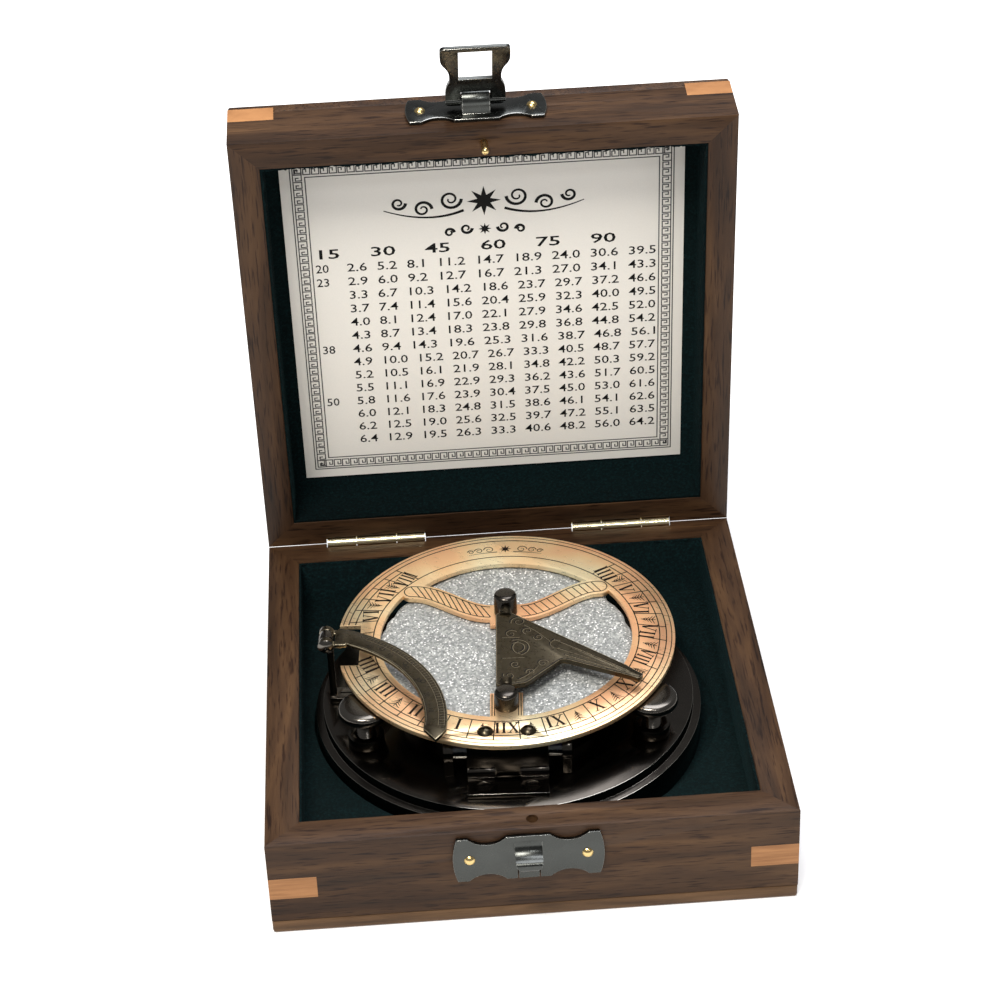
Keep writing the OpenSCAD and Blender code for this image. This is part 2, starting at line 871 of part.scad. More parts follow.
// Instrument base
module base_plate() {
    color([0.12, 0.11, 0.1])
        difference() {
            on_instrument()
                difference() {
                    union() {
                        translate([0, 0, flange_z - flange_t])
                            cylinder(r = flange_r, h = flange_t);
                        translate([0, 0, base_z])
                            cylinder(r = step_r, h = step_h);
                    }
                    translate([0, 0, base_z - over])
                        cylinder(r = hollow_r, h = base_h - flange_t + over);
                }
            at_feet([0, 1, 2])
                translate([0, 0, flange_z - flange_t - over])
                    cylinder(r = shank_r + fit, h = flange_t + 2 * over);
            at_leaf_screws()
                countersunk(leaf_head_r, leaf_head_h, leaf_screw_r, leaf_t + flange_t - 0.5, fit);
            at_arc_screw()
                countersunk(leaf_head_r, leaf_head_h, leaf_screw_r, strip_t + flange_t - 0.5, fit);
        }
}
module screw_bosses() {
    color(bronze)
        at_feet([0, 1, 2])
            translate([0, 0, flange_z])
                difference() {
                    cylinder(r = boss_r, h = boss_h);
                    translate([0, 0, -over])
                        cylinder(r = shank_r + fit, h = boss_h + 2 * over);
                }
}
module shank(i) {
    color(steel)
        at_feet([i])
            translate([0, 0, flange_z + knob_lift - shank_len])
                cylinder(r = shank_r, h = shank_len + knob_h - 1.2);
}
module knob(i) {
    dome_h = 0.36 * knob_h;
    taper_h = 0.28 * knob_h;
    color([0.75, 0.72, 0.62])
        at_feet([i])
            translate([0, 0, flange_z + knob_lift])
                difference() {
                    union() {
                        cylinder(r1 = knob_r - 1.6, r2 = knob_r, h = taper_h);
                        translate([0, 0, taper_h])
                            cylinder(r = knob_r, h = knob_h - dome_h - taper_h);
                        translate([0, 0, knob_h - dome_h])
                            dome(knob_r, dome_h);
                    }
                    translate([0, 0, -over])
                        cylinder(r = shank_r + fit, h = knob_h - 1 + over);
                }
}
module right_shank() {
    shank(0);
}
module left_shank() {
    shank(1);
}
module back_shank() {
    shank(2);
}
module right_knob() {
    knob(0);
}
module left_knob() {
    knob(1);
}
module back_knob() {
    knob(2);
}

// Compass
module compass_bowl() {
    color([0.13, 0.12, 0.1])
        on_instrument()
            translate([0, 0, flange_z])
                difference() {
                    cylinder(r = bowl_r, h = bowl_h);
                    translate([0, 0, bowl_t])
                        cylinder(r = bowl_in_r, h = bowl_h);
                    translate([0, 0, bowl_h - glass_t])
                        cylinder(r = bowl_in_r + seat_w, h = bowl_h);
                }
}
module compass_card() {
    color([0.9, 0.88, 0.8])
        on_instrument()
            translate([0, 0, floor_z])
                difference() {
                    cylinder(r = bowl_in_r - side_gap, h = rose_t);
                    translate([0, 0, -over])
                        cylinder(r = 3 * pivot_r + side_gap, h = rose_t + 2 * over);
                }
}
module needle_pivot() {
    color(brass)
        on_instrument()
            translate([0, 0, floor_z]) {
                cylinder(r = 3 * pivot_r, h = needle_rise / 3);
                cylinder(r = pivot_r, h = needle_rise + needle_t);
            }
}
module compass_glass() {
    color([0.8, 0.9, 0.92, 0.5])
        on_instrument()
            translate([0, 0, bowl_top - glass_t])
                cylinder(r = bowl_in_r + seat_w - fit, h = glass_t);
}
module glass_ring() {
    color(bronze)
        on_instrument()
            translate([0, 0, bowl_top])
                difference() {
                    cylinder(r = bowl_r, h = bezel_t);
                    translate([0, 0, -over])
                        cylinder(r = bowl_in_r, h = bezel_t + 2 * over);
                }
}
module foam_pad() {
    color([0.85, 0.86, 0.88])
        difference() {
            on_instrument()
                translate([0, 0, bezel_top])
                    cylinder(r = foam_r, h = 8);
            on_dial()
                translate([-case_side / 2, -case_side / 2, ring_rise - 0.3])
                    cube([case_side, 2 * case_side, 20]);
            on_instrument()
                translate([-leaf_w / 2 - 1, -foam_cut_y - 10, bezel_top - over])
                    cube([leaf_w + 2, 10, 20]);
        }
}
module needle() {
    color(steel)
        on_instrument()
            translate([0, 0, needle_z])
                difference() {
                    linear_extrude(needle_t)
                        polygon([[0, -needle_l], [needle_w, 0], [0, needle_l], [-needle_w, 0]]);
                    translate([0, 0, -over])
                        cylinder(r = cap_r + fit, h = needle_t + 2 * over);
                }
}
module needle_cap() {
    color(brass)
        on_instrument()
            translate([0, 0, needle_z])
                difference() {
                    union() {
                        translate([0, 0, -0.6])
                            cylinder(r = cap_r + 0.6, h = 0.6);
                        cylinder(r = cap_r, h = needle_t + 0.4);
                    }
                    translate([0, 0, -over])
                        cylinder(r = pivot_r + fit, h = needle_t + over + 0.1);
                }
}

// Spirit level
module at_vial() {
    on_instrument()
        translate([0, -vial_y, flange_z + vial_rise])
            children();
}
module level_vial() {
    color([0.75, 0.88, 0.95, 0.5])
        at_vial()
            difference() {
                rod_x(-vial_l / 2, vial_l / 2, vial_r);
                rod_x(vial_t - vial_l / 2, vial_l / 2 - vial_t, vial_r - vial_t);
            }
}
module level_liquid() {
    color([0.1, 0.3, 0.8])
        at_vial()
            rod_x(vial_t + fit - vial_l / 2, vial_l / 2 - vial_t - fit, vial_r - vial_t - fit);
}
module level_brackets() {
    color(bronze)
        difference() {
            at_vial()
                for (side = [-1, 1])
                    translate([side * (vial_l - bracket_w) / 2, 0, 0]) {
                        rod_x(-bracket_w / 2, bracket_w / 2, vial_r + 0.5);
                        translate([-bracket_w / 2, -2, -vial_rise])
                            cube([bracket_w, 4, vial_rise]);
                    }
            at_vial()
                rod_x(-vial_l, vial_l, vial_r + fit);
        }
}

// Dial hinge
module at_leaf_screws() {
    on_instrument()
        for (x = [-6.3, 6.3])
            translate([x, -axis_y - 5.4, flange_z + leaf_t])
                children();
}
module dial_lower_leaf() {
    knuckle_w = (leaf_w - mid_knuckle_w) / 2 - side_gap;
    color(bronze)
        difference() {
            on_instrument()
                translate([0, -axis_y, 0])
                    difference() {
                        union() {
                            translate([-leaf_w / 2, -leaf_reach, flange_z])
                                cube([leaf_w, leaf_reach, leaf_t]);
                            translate([0, 0, axis_z]) {
                                rod_x(-leaf_w / 2, knuckle_w - leaf_w / 2, knuckle_r);
                                rod_x(leaf_w / 2 - knuckle_w, leaf_w / 2, knuckle_r);
                            }
                        }
                        translate([-mid_knuckle_w / 2 - side_gap, -leaf_start - 1, flange_z - over])
                            cube([mid_knuckle_w + 2 * side_gap, 10, 10]);
                        translate([0, 0, axis_z])
                            rod_x(-leaf_w, leaf_w, dial_pin_r + fit);
                    }
            at_leaf_screws()
                countersunk(leaf_head_r, leaf_head_h, leaf_screw_r, leaf_t + over, fit);
        }
}
module dial_hinge_pin() {
    color(brass)
        on_instrument()
            translate([0, -axis_y, axis_z])
                rod_x(-leaf_w / 2, leaf_w / 2, dial_pin_r);
}
module lower_leaf_screws() {
    color(brass)
        at_leaf_screws()
            flat_screw(leaf_head_r, leaf_head_h, leaf_screw_r, leaf_t + flange_t - 0.6);
}
module dial_upper_leaf() {
    color(bronze)
        difference() {
            on_dial()
                difference() {
                    union() {
                        translate([-leaf_w / 2, -knuckle_r, leaf_start])
                            cube([leaf_w, leaf_t, ring_rise - leaf_start]);
                        translate([-leaf_w / 2, -knuckle_r, ring_rise - leaf_t])
                            cube([leaf_w, knuckle_r + leaf_tail, leaf_t]);
                        translate([-mid_knuckle_w / 2, -knuckle_r, 0])
                            cube([mid_knuckle_w, leaf_t, leaf_start]);
                        rod_x(-mid_knuckle_w / 2, mid_knuckle_w / 2, knuckle_r);
                    }
                    rod_x(-leaf_w, leaf_w, dial_pin_r + fit);
                }
            at_ring_screws()
                translate([0, 0, -ring_t - leaf_t - over])
                    cylinder(r = ring_screw_r + fit, h = leaf_t + 2 * over);
        }
}

// Hour ring with its curved bar, tab and notch
module at_ring_screws() {
    on_dial()
        for (x = [-ring_screw_x, ring_screw_x])
            translate([x, ring_screw_y, ring_top])
                children();
}
function bar_y(x) = post_back + (bar_end_y - post_back) * ease((abs(x) - 4) / (bar_x - 4));
function bar_slope(x) = (bar_y(x + 0.1) - bar_y(x - 0.1)) / 0.2;
function bar_side(x, s) = [x, bar_y(x) + s * bar_w / 2 * sqrt(1 + bar_slope(x) * bar_slope(x))];
module curved_bar() {
    steps = 30;
    xs = [for (i = [0:steps]) bar_x * (2 * i / steps - 1)];
    linear_extrude(ring_t)
        polygon(concat(
            [for (x = xs) bar_side(x, -1)],
            [for (i = [0:steps]) bar_side(xs[steps - i], 1)]
        ));
    for (side = [-1, 1])
        translate([side * bar_x, bar_end_y, 0])
            cylinder(r = bar_w / 2, h = ring_t);
    translate([-tab_w / 2, post_back - post_r - post_rim, 0])
        cube([tab_w, post_r + post_rim + bar_w / 2, ring_t]);
}
module back_rim() {
    difference() {
        cylinder(r = ring_in_r + 0.5, h = ring_t);
        translate([0, 0, -over])
            cylinder(r = ring_in_r - back_band, h = ring_t + 2 * over);
        translate([-ring_r, -ring_r, -over])
            cube([2 * ring_r, ring_r + bar_end_y, ring_t + 2 * over]);
    }
}
module hour_ring() {
    color(copper)
        difference() {
            on_dial()
                translate([0, ring_back, ring_rise]) {
                    difference() {
                        cylinder(r = ring_r, h = ring_t);
                        translate([0, 0, -over])
                            cylinder(r = ring_in_r, h = ring_t + 2 * over);
                        translate([-notch_x - ring_r, notch_front, -over])
                            cube([ring_r, notch_end - notch_front, ring_t + 2 * over]);
                    }
                    curved_bar();
                    back_rim();
                    translate([-tab_w / 2, -ring_in_r - 1, 0])
                        cube([tab_w, tab_l + 1, ring_t]);
                }
            at_ring_screws()
                translate([0, 0, -ring_t - over])
                    cylinder(r = ring_screw_r + fit, h = ring_t + 2 * over);
        }
}
module ring_screws() {
    color(brass)
        at_ring_screws()
            round_screw(ring_head_r, ring_head_h, ring_screw_r, ring_t + leaf_t);
}
module gnomon_posts() {
    color(bronze)
        on_dial()
            difference() {
                for (post = [[-post_front, post_h], [post_back, back_post_h]])
                    translate([0, ring_back + post[0], ring_top])
                        cylinder(r = post_r, h = post[1]);
                translate([0, 0, gnomon_z]) {
                    rod_y(ring_back - post_front - 1.2, ring_back - post_front + 5, gnomon_pin_r + fit);
                    rod_y(ring_back + post_back - 5, ring_back + post_back + 1.2, gnomon_pin_r + fit);
                }
            }
}
lug_front = ring_back - post_front + post_r + side_gap;
lug_back = ring_back + post_back - post_r - side_gap;
lug_l = 3;
module gnomon_pins() {
    color(brass)
        on_dial()
            translate([0, 0, gnomon_z]) {
                rod_y(lug_front - post_r - side_gap - 1, lug_front + lug_l - 0.6, gnomon_pin_r);
                rod_y(lug_back - lug_l + 0.6, lug_back + post_r + side_gap + 1, gnomon_pin_r);
            }
}

// Gnomon, folded flat to the right
module gnomon_outline() {
    front = lug_front + 0.6;
    back = lug_back - 2;
    long = back - front;
    heel = 2.6;
    brow = [gnomon_reach - 4.2, front + 0.22 * long];
    tip = [gnomon_reach, front + 0.09 * long];
    throat = [gnomon_reach * 0.415, front + 0.34 * long];
    belly = [gnomon_reach * 0.18, front + 0.05 * long];
    polygon(concat(
        [[-heel, front + 0.5], [-heel, back - 0.5], [0.5 - heel, back], [1.6, back]],
        bend(brow, brow + [1.4, -1.6], tip, 5),
        bend([gnomon_reach - 0.9, front + 0.04 * long], [gnomon_reach - 1.6, front + 0.03 * long],
            [gnomon_reach - 2.6, front + 0.06 * long], 3),
        bend(throat + [1.4, -0.7], throat, throat + [-1, -1.1], 4),
        bend(belly + [0.9, 1.2], belly, belly + [-1.6, -1], 4),
        [[1.6, front], [0.5 - heel, front]]
    ));
}
module gnomon() {
    color(bronze)
        on_dial()
            translate([0, 0, gnomon_z])
                difference() {
                    union() {
                        translate([0, 0, -gnomon_t / 2])
                            linear_extrude(gnomon_t)
                                gnomon_outline();
                        rod_y(lug_front, lug_front + lug_l, barrel_r);
                        rod_y(lug_back - lug_l, lug_back, barrel_r);
                    }
                    rod_y(lug_front - over, lug_front + lug_l, gnomon_pin_r + fit);
                    rod_y(lug_back - lug_l, lug_back + over, gnomon_pin_r + fit);
                }
}

// Latitude arc, folded flat over the ring's left side
module at_arc() {
    on_instrument()
        translate([-arc_x, arc_y, arc_z])
            children();
}
module at_arc_screw() {
    on_instrument()
        translate([-arc_x + arc_screw_x, arc_y, flange_z + strip_t])
            children();
}
eye_gap = side_gap + strip_w;
ear_w = 1.8;
module arc_bracket() {
    color(bronze)
        difference() {
            at_arc()
                difference() {
                    union() {
                        rod_y(-strip_w, strip_w, ear_r);
                        translate([0, -strip_w, -arc_rise])
                            cube([strip_t, 2 * strip_w, arc_rise]);
                        translate([0, -arc_foot_w / 2, -arc_rise])
                            cube([arc_foot_l, arc_foot_w, strip_t]);
                    }
                    rod_y(-2 * strip_w, 2 * strip_w, arc_pin_r + fit);
                }
            at_arc_screw()
                countersunk(leaf_head_r, leaf_head_h, leaf_screw_r, strip_t + over, fit);
        }
}
module arc_bracket_screw() {
    color(brass)
        at_arc_screw()
            flat_screw(leaf_head_r, leaf_head_h, leaf_screw_r, strip_t + flange_t - 0.6);
}
module latitude_arc() {
    far = 70;
    low = -6;
    high = 72;
    wedge_steps = 6;
    wedge = [for (i = [0:wedge_steps]) far * [cos(low + (high - low) * i / wedge_steps),
        sin(low + (high - low) * i / wedge_steps)]];
    cy = -sqrt(arc_pivot_r * arc_pivot_r - arc_centre_x * arc_centre_x);
    color(bronze)
        at_arc()
            difference() {
                union() {
                    translate([-arc_centre_x, cy, -arc_t / 2]) {
                        intersection() {
                            difference() {
                                cylinder(r = arc_out_r, h = arc_t);
                                translate([0, 0, -over])
                                    cylinder(r = arc_in_r, h = arc_t + 2 * over);
                            }
                            linear_extrude(arc_t)
                                polygon(concat([[0, 0]], wedge));
                        }
                        linear_extrude(arc_t)
                            polygon([
                                arc_out_r * [cos(low), sin(low)],
                                arc_in_r * [cos(low + 4), sin(low + 4)],
                                arc_in_r * [cos(low), sin(low)],
                                [arc_in_r + 1.6, arc_out_r * sin(low) - 2],
                                [arc_in_r + 3, arc_out_r * sin(low) - 4],
                                [arc_in_r + 4.4, arc_out_r * sin(low) - 2]
                            ]);
                    }
                    for (side = [-1, 1]) {
                        inner_y = side < 0 ? -eye_gap - ear_w : eye_gap;
                        rod_y(inner_y, inner_y + ear_w, ear_r);
                        translate([0, inner_y, -arc_t / 2])
                            cube([5.4, ear_w, arc_t]);
                    }
                }
                rod_y(-eye_gap, eye_gap, ear_r + 0.4);
                rod_y(-10, 10, arc_pin_r + fit);
            }
}
module arc_pivot_pin() {
    color(brass)
        at_arc() {
            rod_y(-eye_gap - ear_w - 0.3, eye_gap + ear_w + 0.3, arc_pin_r);
            translate([0, -eye_gap - ear_w, 0])
                rotate([90, 0, 0])
                    dome(pin_head_r, 0.9);
        }
}

bottom_board();
front_wall();
back_wall();
left_wall();
right_wall();
corner_keys();
well_block();
well_felt();
lower_hinge_leaves();
hinge_pins();
lower_hinge_screws();
catch_hook_plate();
lower_catch_nails();
lid_panel();
lid_front_wall();
lid_back_wall();
lid_left_wall();
lid_right_wall();
lid_corner_keys();
lid_felt();
instruction_card();
locating_pin();
upper_hinge_leaves();
upper_hinge_screws();
catch_loop_plate();
upper_catch_nails();
hasp();
base_plate();
screw_bosses();
compass_bowl();
compass_card();
needle_pivot();
compass_glass();
glass_ring();
foam_pad();
level_vial();
level_liquid();
level_brackets();
dial_lower_leaf();
dial_hinge_pin();
lower_leaf_screws();
arc_bracket();
arc_bracket_screw();
dial_upper_leaf();
hour_ring();
ring_screws();
gnomon_posts();
gnomon_pins();
gnomon();
latitude_arc();
arc_pivot_pin();
needle();
needle_cap();
right_shank();
left_shank();
back_shank();
right_knob();
left_knob();
back_knob();
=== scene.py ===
import json
import math
import random
import bpy
import bmesh
from mathutils import Matrix, Vector, noise


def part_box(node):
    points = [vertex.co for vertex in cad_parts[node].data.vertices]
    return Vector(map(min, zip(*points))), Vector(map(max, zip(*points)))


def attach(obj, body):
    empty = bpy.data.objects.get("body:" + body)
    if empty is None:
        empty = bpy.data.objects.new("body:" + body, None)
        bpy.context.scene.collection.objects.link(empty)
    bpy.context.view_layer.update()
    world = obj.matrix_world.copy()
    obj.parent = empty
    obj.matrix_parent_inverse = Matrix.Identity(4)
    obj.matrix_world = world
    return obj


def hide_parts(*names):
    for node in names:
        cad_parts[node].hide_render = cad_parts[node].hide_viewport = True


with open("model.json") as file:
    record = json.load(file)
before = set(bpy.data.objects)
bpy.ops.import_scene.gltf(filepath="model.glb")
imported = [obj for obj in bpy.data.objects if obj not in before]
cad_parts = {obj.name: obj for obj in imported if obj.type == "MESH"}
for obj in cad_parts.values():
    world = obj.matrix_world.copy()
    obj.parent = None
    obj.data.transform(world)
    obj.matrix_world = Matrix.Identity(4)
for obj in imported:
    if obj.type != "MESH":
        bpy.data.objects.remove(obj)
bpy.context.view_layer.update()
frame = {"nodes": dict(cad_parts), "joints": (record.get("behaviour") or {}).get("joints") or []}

mm = 0.001
joints = {j["name"]: j for j in frame["joints"]}
print("frame loaded")

# Camera and view

cameraSet = {
    "place": (-0.02605, -0.56262, 0.44468),
    "turnDeg": (57.18, 1.98, -3.72),
    "lensMm": 94.5,                      # on a 36 mm wide frame
}


def addCamera(spec):
    data = bpy.data.cameras.new("camera")
    data.lens = spec["lensMm"]
    data.sensor_width = 36
    data.clip_start = 0.01
    cam = bpy.data.objects.new("camera", data)
    cam.location = spec["place"]
    cam.rotation_euler = [math.radians(a) for a in spec["turnDeg"]]
    bpy.context.scene.collection.objects.link(cam)
    bpy.context.scene.camera = cam


addCamera(cameraSet)
bpy.context.scene.view_settings.view_transform = "Standard"

# Places of the moving groups, from the joints

tiltAxis = Vector(joints["dial_tilt"]["axis"])
foldAxis = Vector(joints["gnomon_fold"]["axis"])
wellTurn = math.atan2(tiltAxis.y, tiltAxis.x)        # how the instrument lies turned in its well
dialLean = math.asin(-foldAxis.z)                    # how far the folded dial is propped up
hingeAt = Vector(joints["dial_tilt"]["pos_m"])
centreAt = Vector(joints["needle_turn"]["pos_m"])
lidAt = Vector(joints["lid_hinge"]["pos_m"])
lidOpen = math.radians(85)
quarter = math.pi / 2
sharpAngle = math.radians(32)                        # faces that meet at more than this make an edge to ease

onInstrument = Matrix.Translation((centreAt.x, centreAt.y, 0)) @ Matrix.Rotation(wellTurn, 4, "Z")
onDial = Matrix.Translation(hingeAt) @ Matrix.Rotation(wellTurn, 4, "Z") @ Matrix.Rotation(dialLean, 4, "X")
onLid = Matrix.Translation(lidAt) @ Matrix.Rotation(-lidOpen, 4, "X") @ Matrix.Translation(-lidAt)
still = Matrix.Identity(4)

# Small helpers


def hexColour(code):
    values = [int(code[i:i + 2], 16) / 255 for i in (1, 3, 5)]
    return [v / 12.92 if v <= 0.04045 else ((v + 0.055) / 1.055) ** 2.4 for v in values] + [1.0]


def addNode(tree, kind, settings=None, links=None):
    node = tree.nodes.new(kind)
    for key, value in (settings or {}).items():
        if isinstance(key, str) and hasattr(node, key):
            setattr(node, key, value)
        else:
            node.inputs[key].default_value = value
    for key, source in (links or {}).items():
        tree.links.new(source, node.inputs[key])
    return node


def newMaterial(name, settings):
    mat = bpy.data.materials.new(name)
    mat.use_nodes = True
    tree = mat.node_tree
    tree.nodes.clear()
    shader = addNode(tree, "ShaderNodeBsdfPrincipled", settings)
    out = addNode(tree, "ShaderNodeOutputMaterial")
    tree.links.new(shader.outputs[0], out.inputs[0])
    return mat, tree, shader


def ramp(tree, source, stops):
    node = addNode(tree, "ShaderNodeValToRGB", None, {"Fac": source})
    while len(node.color_ramp.elements) < len(stops):
        node.color_ramp.elements.new(0.5)
    for element, (at, colour) in zip(node.color_ramp.elements, stops):
        element.position = at
        element.color = hexColour(colour)
    return node


def mappedPlace(tree, scale, turn=(0, 0, 0)):
    coords = addNode(tree, "ShaderNodeTexCoord")
    turned = addNode(tree, "ShaderNodeMapping", {"Rotation": turn}, {"Vector": coords.outputs["Object"]})
    return addNode(tree, "ShaderNodeMapping", {"Scale": scale}, {"Vector": turned.outputs[0]}).outputs[0]


def noiseAt(tree, place, scale, detail, rough, distortion=0.0):
    return addNode(tree, "ShaderNodeTexNoise", {
        "Scale": scale, "Detail": detail, "Roughness": rough, "Distortion": distortion}, {"Vector": place})


def multiplied(tree, first, second):
    node = addNode(tree, "ShaderNodeMix", {"data_type": "RGBA", "blend_type": "MULTIPLY", 0: 1.0})
    tree.links.new(first, node.inputs[6])
    tree.links.new(second, node.inputs[7])
    return node.outputs[2]


def blended(tree, share, first, second):
    node = addNode(tree, "ShaderNodeMix", {"data_type": "RGBA"}, {0: share})
    for slot, colour in ((6, first), (7, second)):
        if isinstance(colour, list):
            node.inputs[slot].default_value = colour
        else:
            tree.links.new(colour, node.inputs[slot])
    return node.outputs[2]


def computed(tree, operation, first, second):
    node = addNode(tree, "ShaderNodeMath", {"operation": operation}, {0: first})
    if isinstance(second, float):
        node.inputs[1].default_value = second
    else:
        tree.links.new(second, node.inputs[1])
    return node.outputs[0]


def makePiece(name, bm, body, material, smoothDeg=30, replaced=(), place=None):
    if place is not None:
        bmesh.ops.transform(bm, matrix=place, verts=bm.verts[:])
    mesh = bpy.data.meshes.new(name)
    bm.to_mesh(mesh)
    bm.free()
    obj = bpy.data.objects.new(name, mesh)
    bpy.context.scene.collection.objects.link(obj)
    for entry in material if isinstance(material, list) else [material]:
        mesh.materials.append(entry)
    shadeSmooth(mesh, smoothDeg)
    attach(obj, body)
    if replaced:
        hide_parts(*replaced)
    return obj


def shadeSmooth(mesh, angleDeg):
    mesh.polygons.foreach_set("use_smooth", [True] * len(mesh.polygons))
    mesh.set_sharp_from_angle(angle=math.radians(angleDeg))


def mergedCopy(node):
    # the CAD mesh with its loose triangles joined and its flat faces made whole
    bm = bmesh.new()
    bm.from_mesh(frame["nodes"][node].data)
    bmesh.ops.remove_doubles(bm, verts=bm.verts[:], dist=2e-6)
    bmesh.ops.dissolve_limit(bm, angle_limit=math.radians(0.6), verts=bm.verts[:], edges=bm.edges[:])
    return bm


def eased(bm, edges, widthMm, segments):
    return bmesh.ops.bevel(bm, geom=edges, offset=widthMm * mm, offset_type="OFFSET", affect="EDGES",
                           segments=segments, profile=0.5, material=-1, clamp_overlap=True)


def dressed(node, body, material, widthMm):
    # the CAD shape with eased edges; a list of two materials gives those edges the second one
    bm = mergedCopy(node)
    sharp = [e for e in bm.edges if len(e.link_faces) == 2 and e.calc_face_angle(0) > sharpAngle]
    for face in eased(bm, sharp, widthMm, 2)["faces"]:
        face.material_index = len(material) - 1 if isinstance(material, list) else 0
    return makePiece(node + "_finished", bm, body, material, replaced=(node,))


def paintNode(node, material):
    obj = frame["nodes"][node]
    obj.data.materials.clear()
    obj.data.materials.append(material)


def strip(bm, points, width, endWidth=None):
    # a flat ribbon along 2-D points, tapering to endWidth
    pts = [Vector((p[0], p[1], 0)) for p in points]
    last = len(pts) - 1
    final = width if endWidth is None else endWidth
    pairs = []
    for i, p in enumerate(pts):
        ahead = pts[min(i + 1, last)] - pts[max(i - 1, 0)]
        side = Vector((-ahead.y, ahead.x, 0)).normalized() * (width + (final - width) * i / last) / 2
        pairs.append((bm.verts.new(p + side), bm.verts.new(p - side)))
    for (a, b), (c, d) in zip(pairs, pairs[1:]):
        bm.faces.new((a, b, d, c))


def bar(bm, start, end, width, extend=0.0):
    # one straight flat stroke
    p, q = Vector((start[0], start[1], 0)), Vector((end[0], end[1], 0))
    ahead = (q - p).normalized()
    strip(bm, [p - ahead * extend, q + ahead * extend], width)


def circlePoints(cx, cy, r, fromDeg, toDeg):
    count = max(4, int(abs(toDeg - fromDeg) / 3))
    angles = [math.radians(fromDeg + (toDeg - fromDeg) * i / count) for i in range(count + 1)]
    return [(cx + r * math.cos(a), cy + r * math.sin(a)) for a in angles]


def spiralPoints(cx, cy, startR, endR, startDeg, turnDeg):
    count = max(6, int(abs(turnDeg) / 18))
    out = []
    for i in range(count + 1):
        t = i / count
        a = math.radians(startDeg + turnDeg * t)
        r = startR + (endR - startR) * t
        out.append((cx + r * math.cos(a), cy + r * math.sin(a)))
    return out


def bend(p, q, r, count):
    # points of a curve from p to r that leaves and arrives towards q
    out = []
    for i in range(count + 1):
        u = i / count
        out.append(tuple((1 - u) ** 2 * a + 2 * u * (1 - u) * b + u * u * c for a, b, c in zip(p, q, r)))
    return out


def borderOf(bm, points, inset, width):
    # a line of the given width, running inside a closed outline
    face = bm.faces.new([bm.verts.new((x, y, 0)) for x, y in points])
    outer = bmesh.ops.inset_individual(bm, faces=[face], thickness=inset)["faces"]
    bmesh.ops.inset_individual(bm, faces=[face], thickness=width)
    bmesh.ops.delete(bm, geom=outer + [face], context="FACES_ONLY")


def star(bm, cx, cy, outer, inner, points):
    corners = []
    for i in range(2 * points):
        r = outer if i % 2 == 0 else inner
        a = math.pi / 2 + math.pi * i / points
        corners.append(bm.verts.new((cx + r * math.cos(a), cy + r * math.sin(a), 0)))
    hub = bm.verts.new((cx, cy, 0))
    for a, b in zip(corners, corners[1:] + corners[:1]):
        bm.faces.new((hub, a, b))


def figures(bm, text, size, place, bold=0.0, width=None):
    # plain figures in the built-in font; place takes the text's own plane, in millimetres
    curve = bpy.data.curves.new("figures", "FONT")
    curve.body = text
    curve.size = size
    curve.resolution_u = 2
    curve.offset = bold
    holder = bpy.data.objects.new("figures", curve)
    bpy.context.scene.collection.objects.link(holder)
    bpy.context.view_layer.update()
    mesh = bpy.data.meshes.new_from_object(holder)
    if width:
        span = max(v.co.x for v in mesh.vertices)
        mesh.transform(Matrix.Scale(width / span, 4, (1, 0, 0)))
    mesh.transform(place)
    bm.from_mesh(mesh)
    bpy.data.objects.remove(holder)
    bpy.data.meshes.remove(mesh)
    bpy.data.curves.remove(curve)


def spun(profile, steps, centre=(0, 0, 0)):
    # a solid of revolution about Z, from (radius, height) pairs
    bm = bmesh.new()
    verts = [bm.verts.new((r, 0, z)) for r, z in profile]
    edges = [bm.edges.new(pair) for pair in zip(verts, verts[1:])]
    bmesh.ops.spin(bm, geom=verts + edges, cent=(0, 0, 0), axis=(0, 0, 1), angle=2 * math.pi,
                   steps=steps, use_merge=True)
    bmesh.ops.remove_doubles(bm, verts=bm.verts[:], dist=1e-7)
    bmesh.ops.recalc_face_normals(bm, faces=bm.faces[:])
    bmesh.ops.translate(bm, vec=centre, verts=bm.verts[:])
    return bm


# Materials of the case

woodSet = {
    "light": "#6b4f34", "mid": "#4a3422", "dark": "#2b1d12",
    "streakMm": 2.4,      # width of the darker growth bands across the board
    "poreMm": 0.3,        # width of the open pores
}


def sheesham(name, grainTurn):
    # Indian rosewood, planed and rubbed with wax: brown bands along the board, short dark pores, low gloss
    mat, tree, shader = newMaterial(name, {"Roughness": 0.5, "Specular IOR Level": 0.22})
    spec = woodSet
    bandScale = 1 / (spec["streakMm"] * mm)
    poreScale = 1 / (spec["poreMm"] * mm)
    wide = mappedPlace(tree, (bandScale * 0.045, bandScale * 0.5, bandScale * 0.5), grainTurn)
    fine = mappedPlace(tree, (poreScale * 0.04, poreScale * 0.55, poreScale * 0.55), grainTurn)
    bands = noiseAt(tree, wide, 1.0, 6.0, 0.58, 0.6)
    cloud = noiseAt(tree, mappedPlace(tree, (0.35, 1, 1), grainTurn), 38.0, 3.0, 0.5)
    pores = noiseAt(tree, fine, 1.0, 2.0, 0.5)
    base = ramp(tree, bands.outputs["Fac"], [(0.22, spec["dark"]), (0.5, spec["mid"]), (0.8, spec["light"])])
    tone = ramp(tree, cloud.outputs["Fac"], [(0.30, "#b3a79d"), (0.70, "#ffffff")])
    poreTone = ramp(tree, pores.outputs["Fac"], [(0.33, "#9a8a7e"), (0.46, "#ffffff")])
    toned = multiplied(tree, base.outputs[0], tone.outputs[0])
    tree.links.new(multiplied(tree, toned, poreTone.outputs[0]), shader.inputs["Base Color"])
    relief = addNode(tree, "ShaderNodeBump", {"Strength": 0.25, "Distance": 0.0002},
                     {"Height": pores.outputs["Fac"]})
    tree.links.new(relief.outputs[0], shader.inputs["Normal"])
    return mat


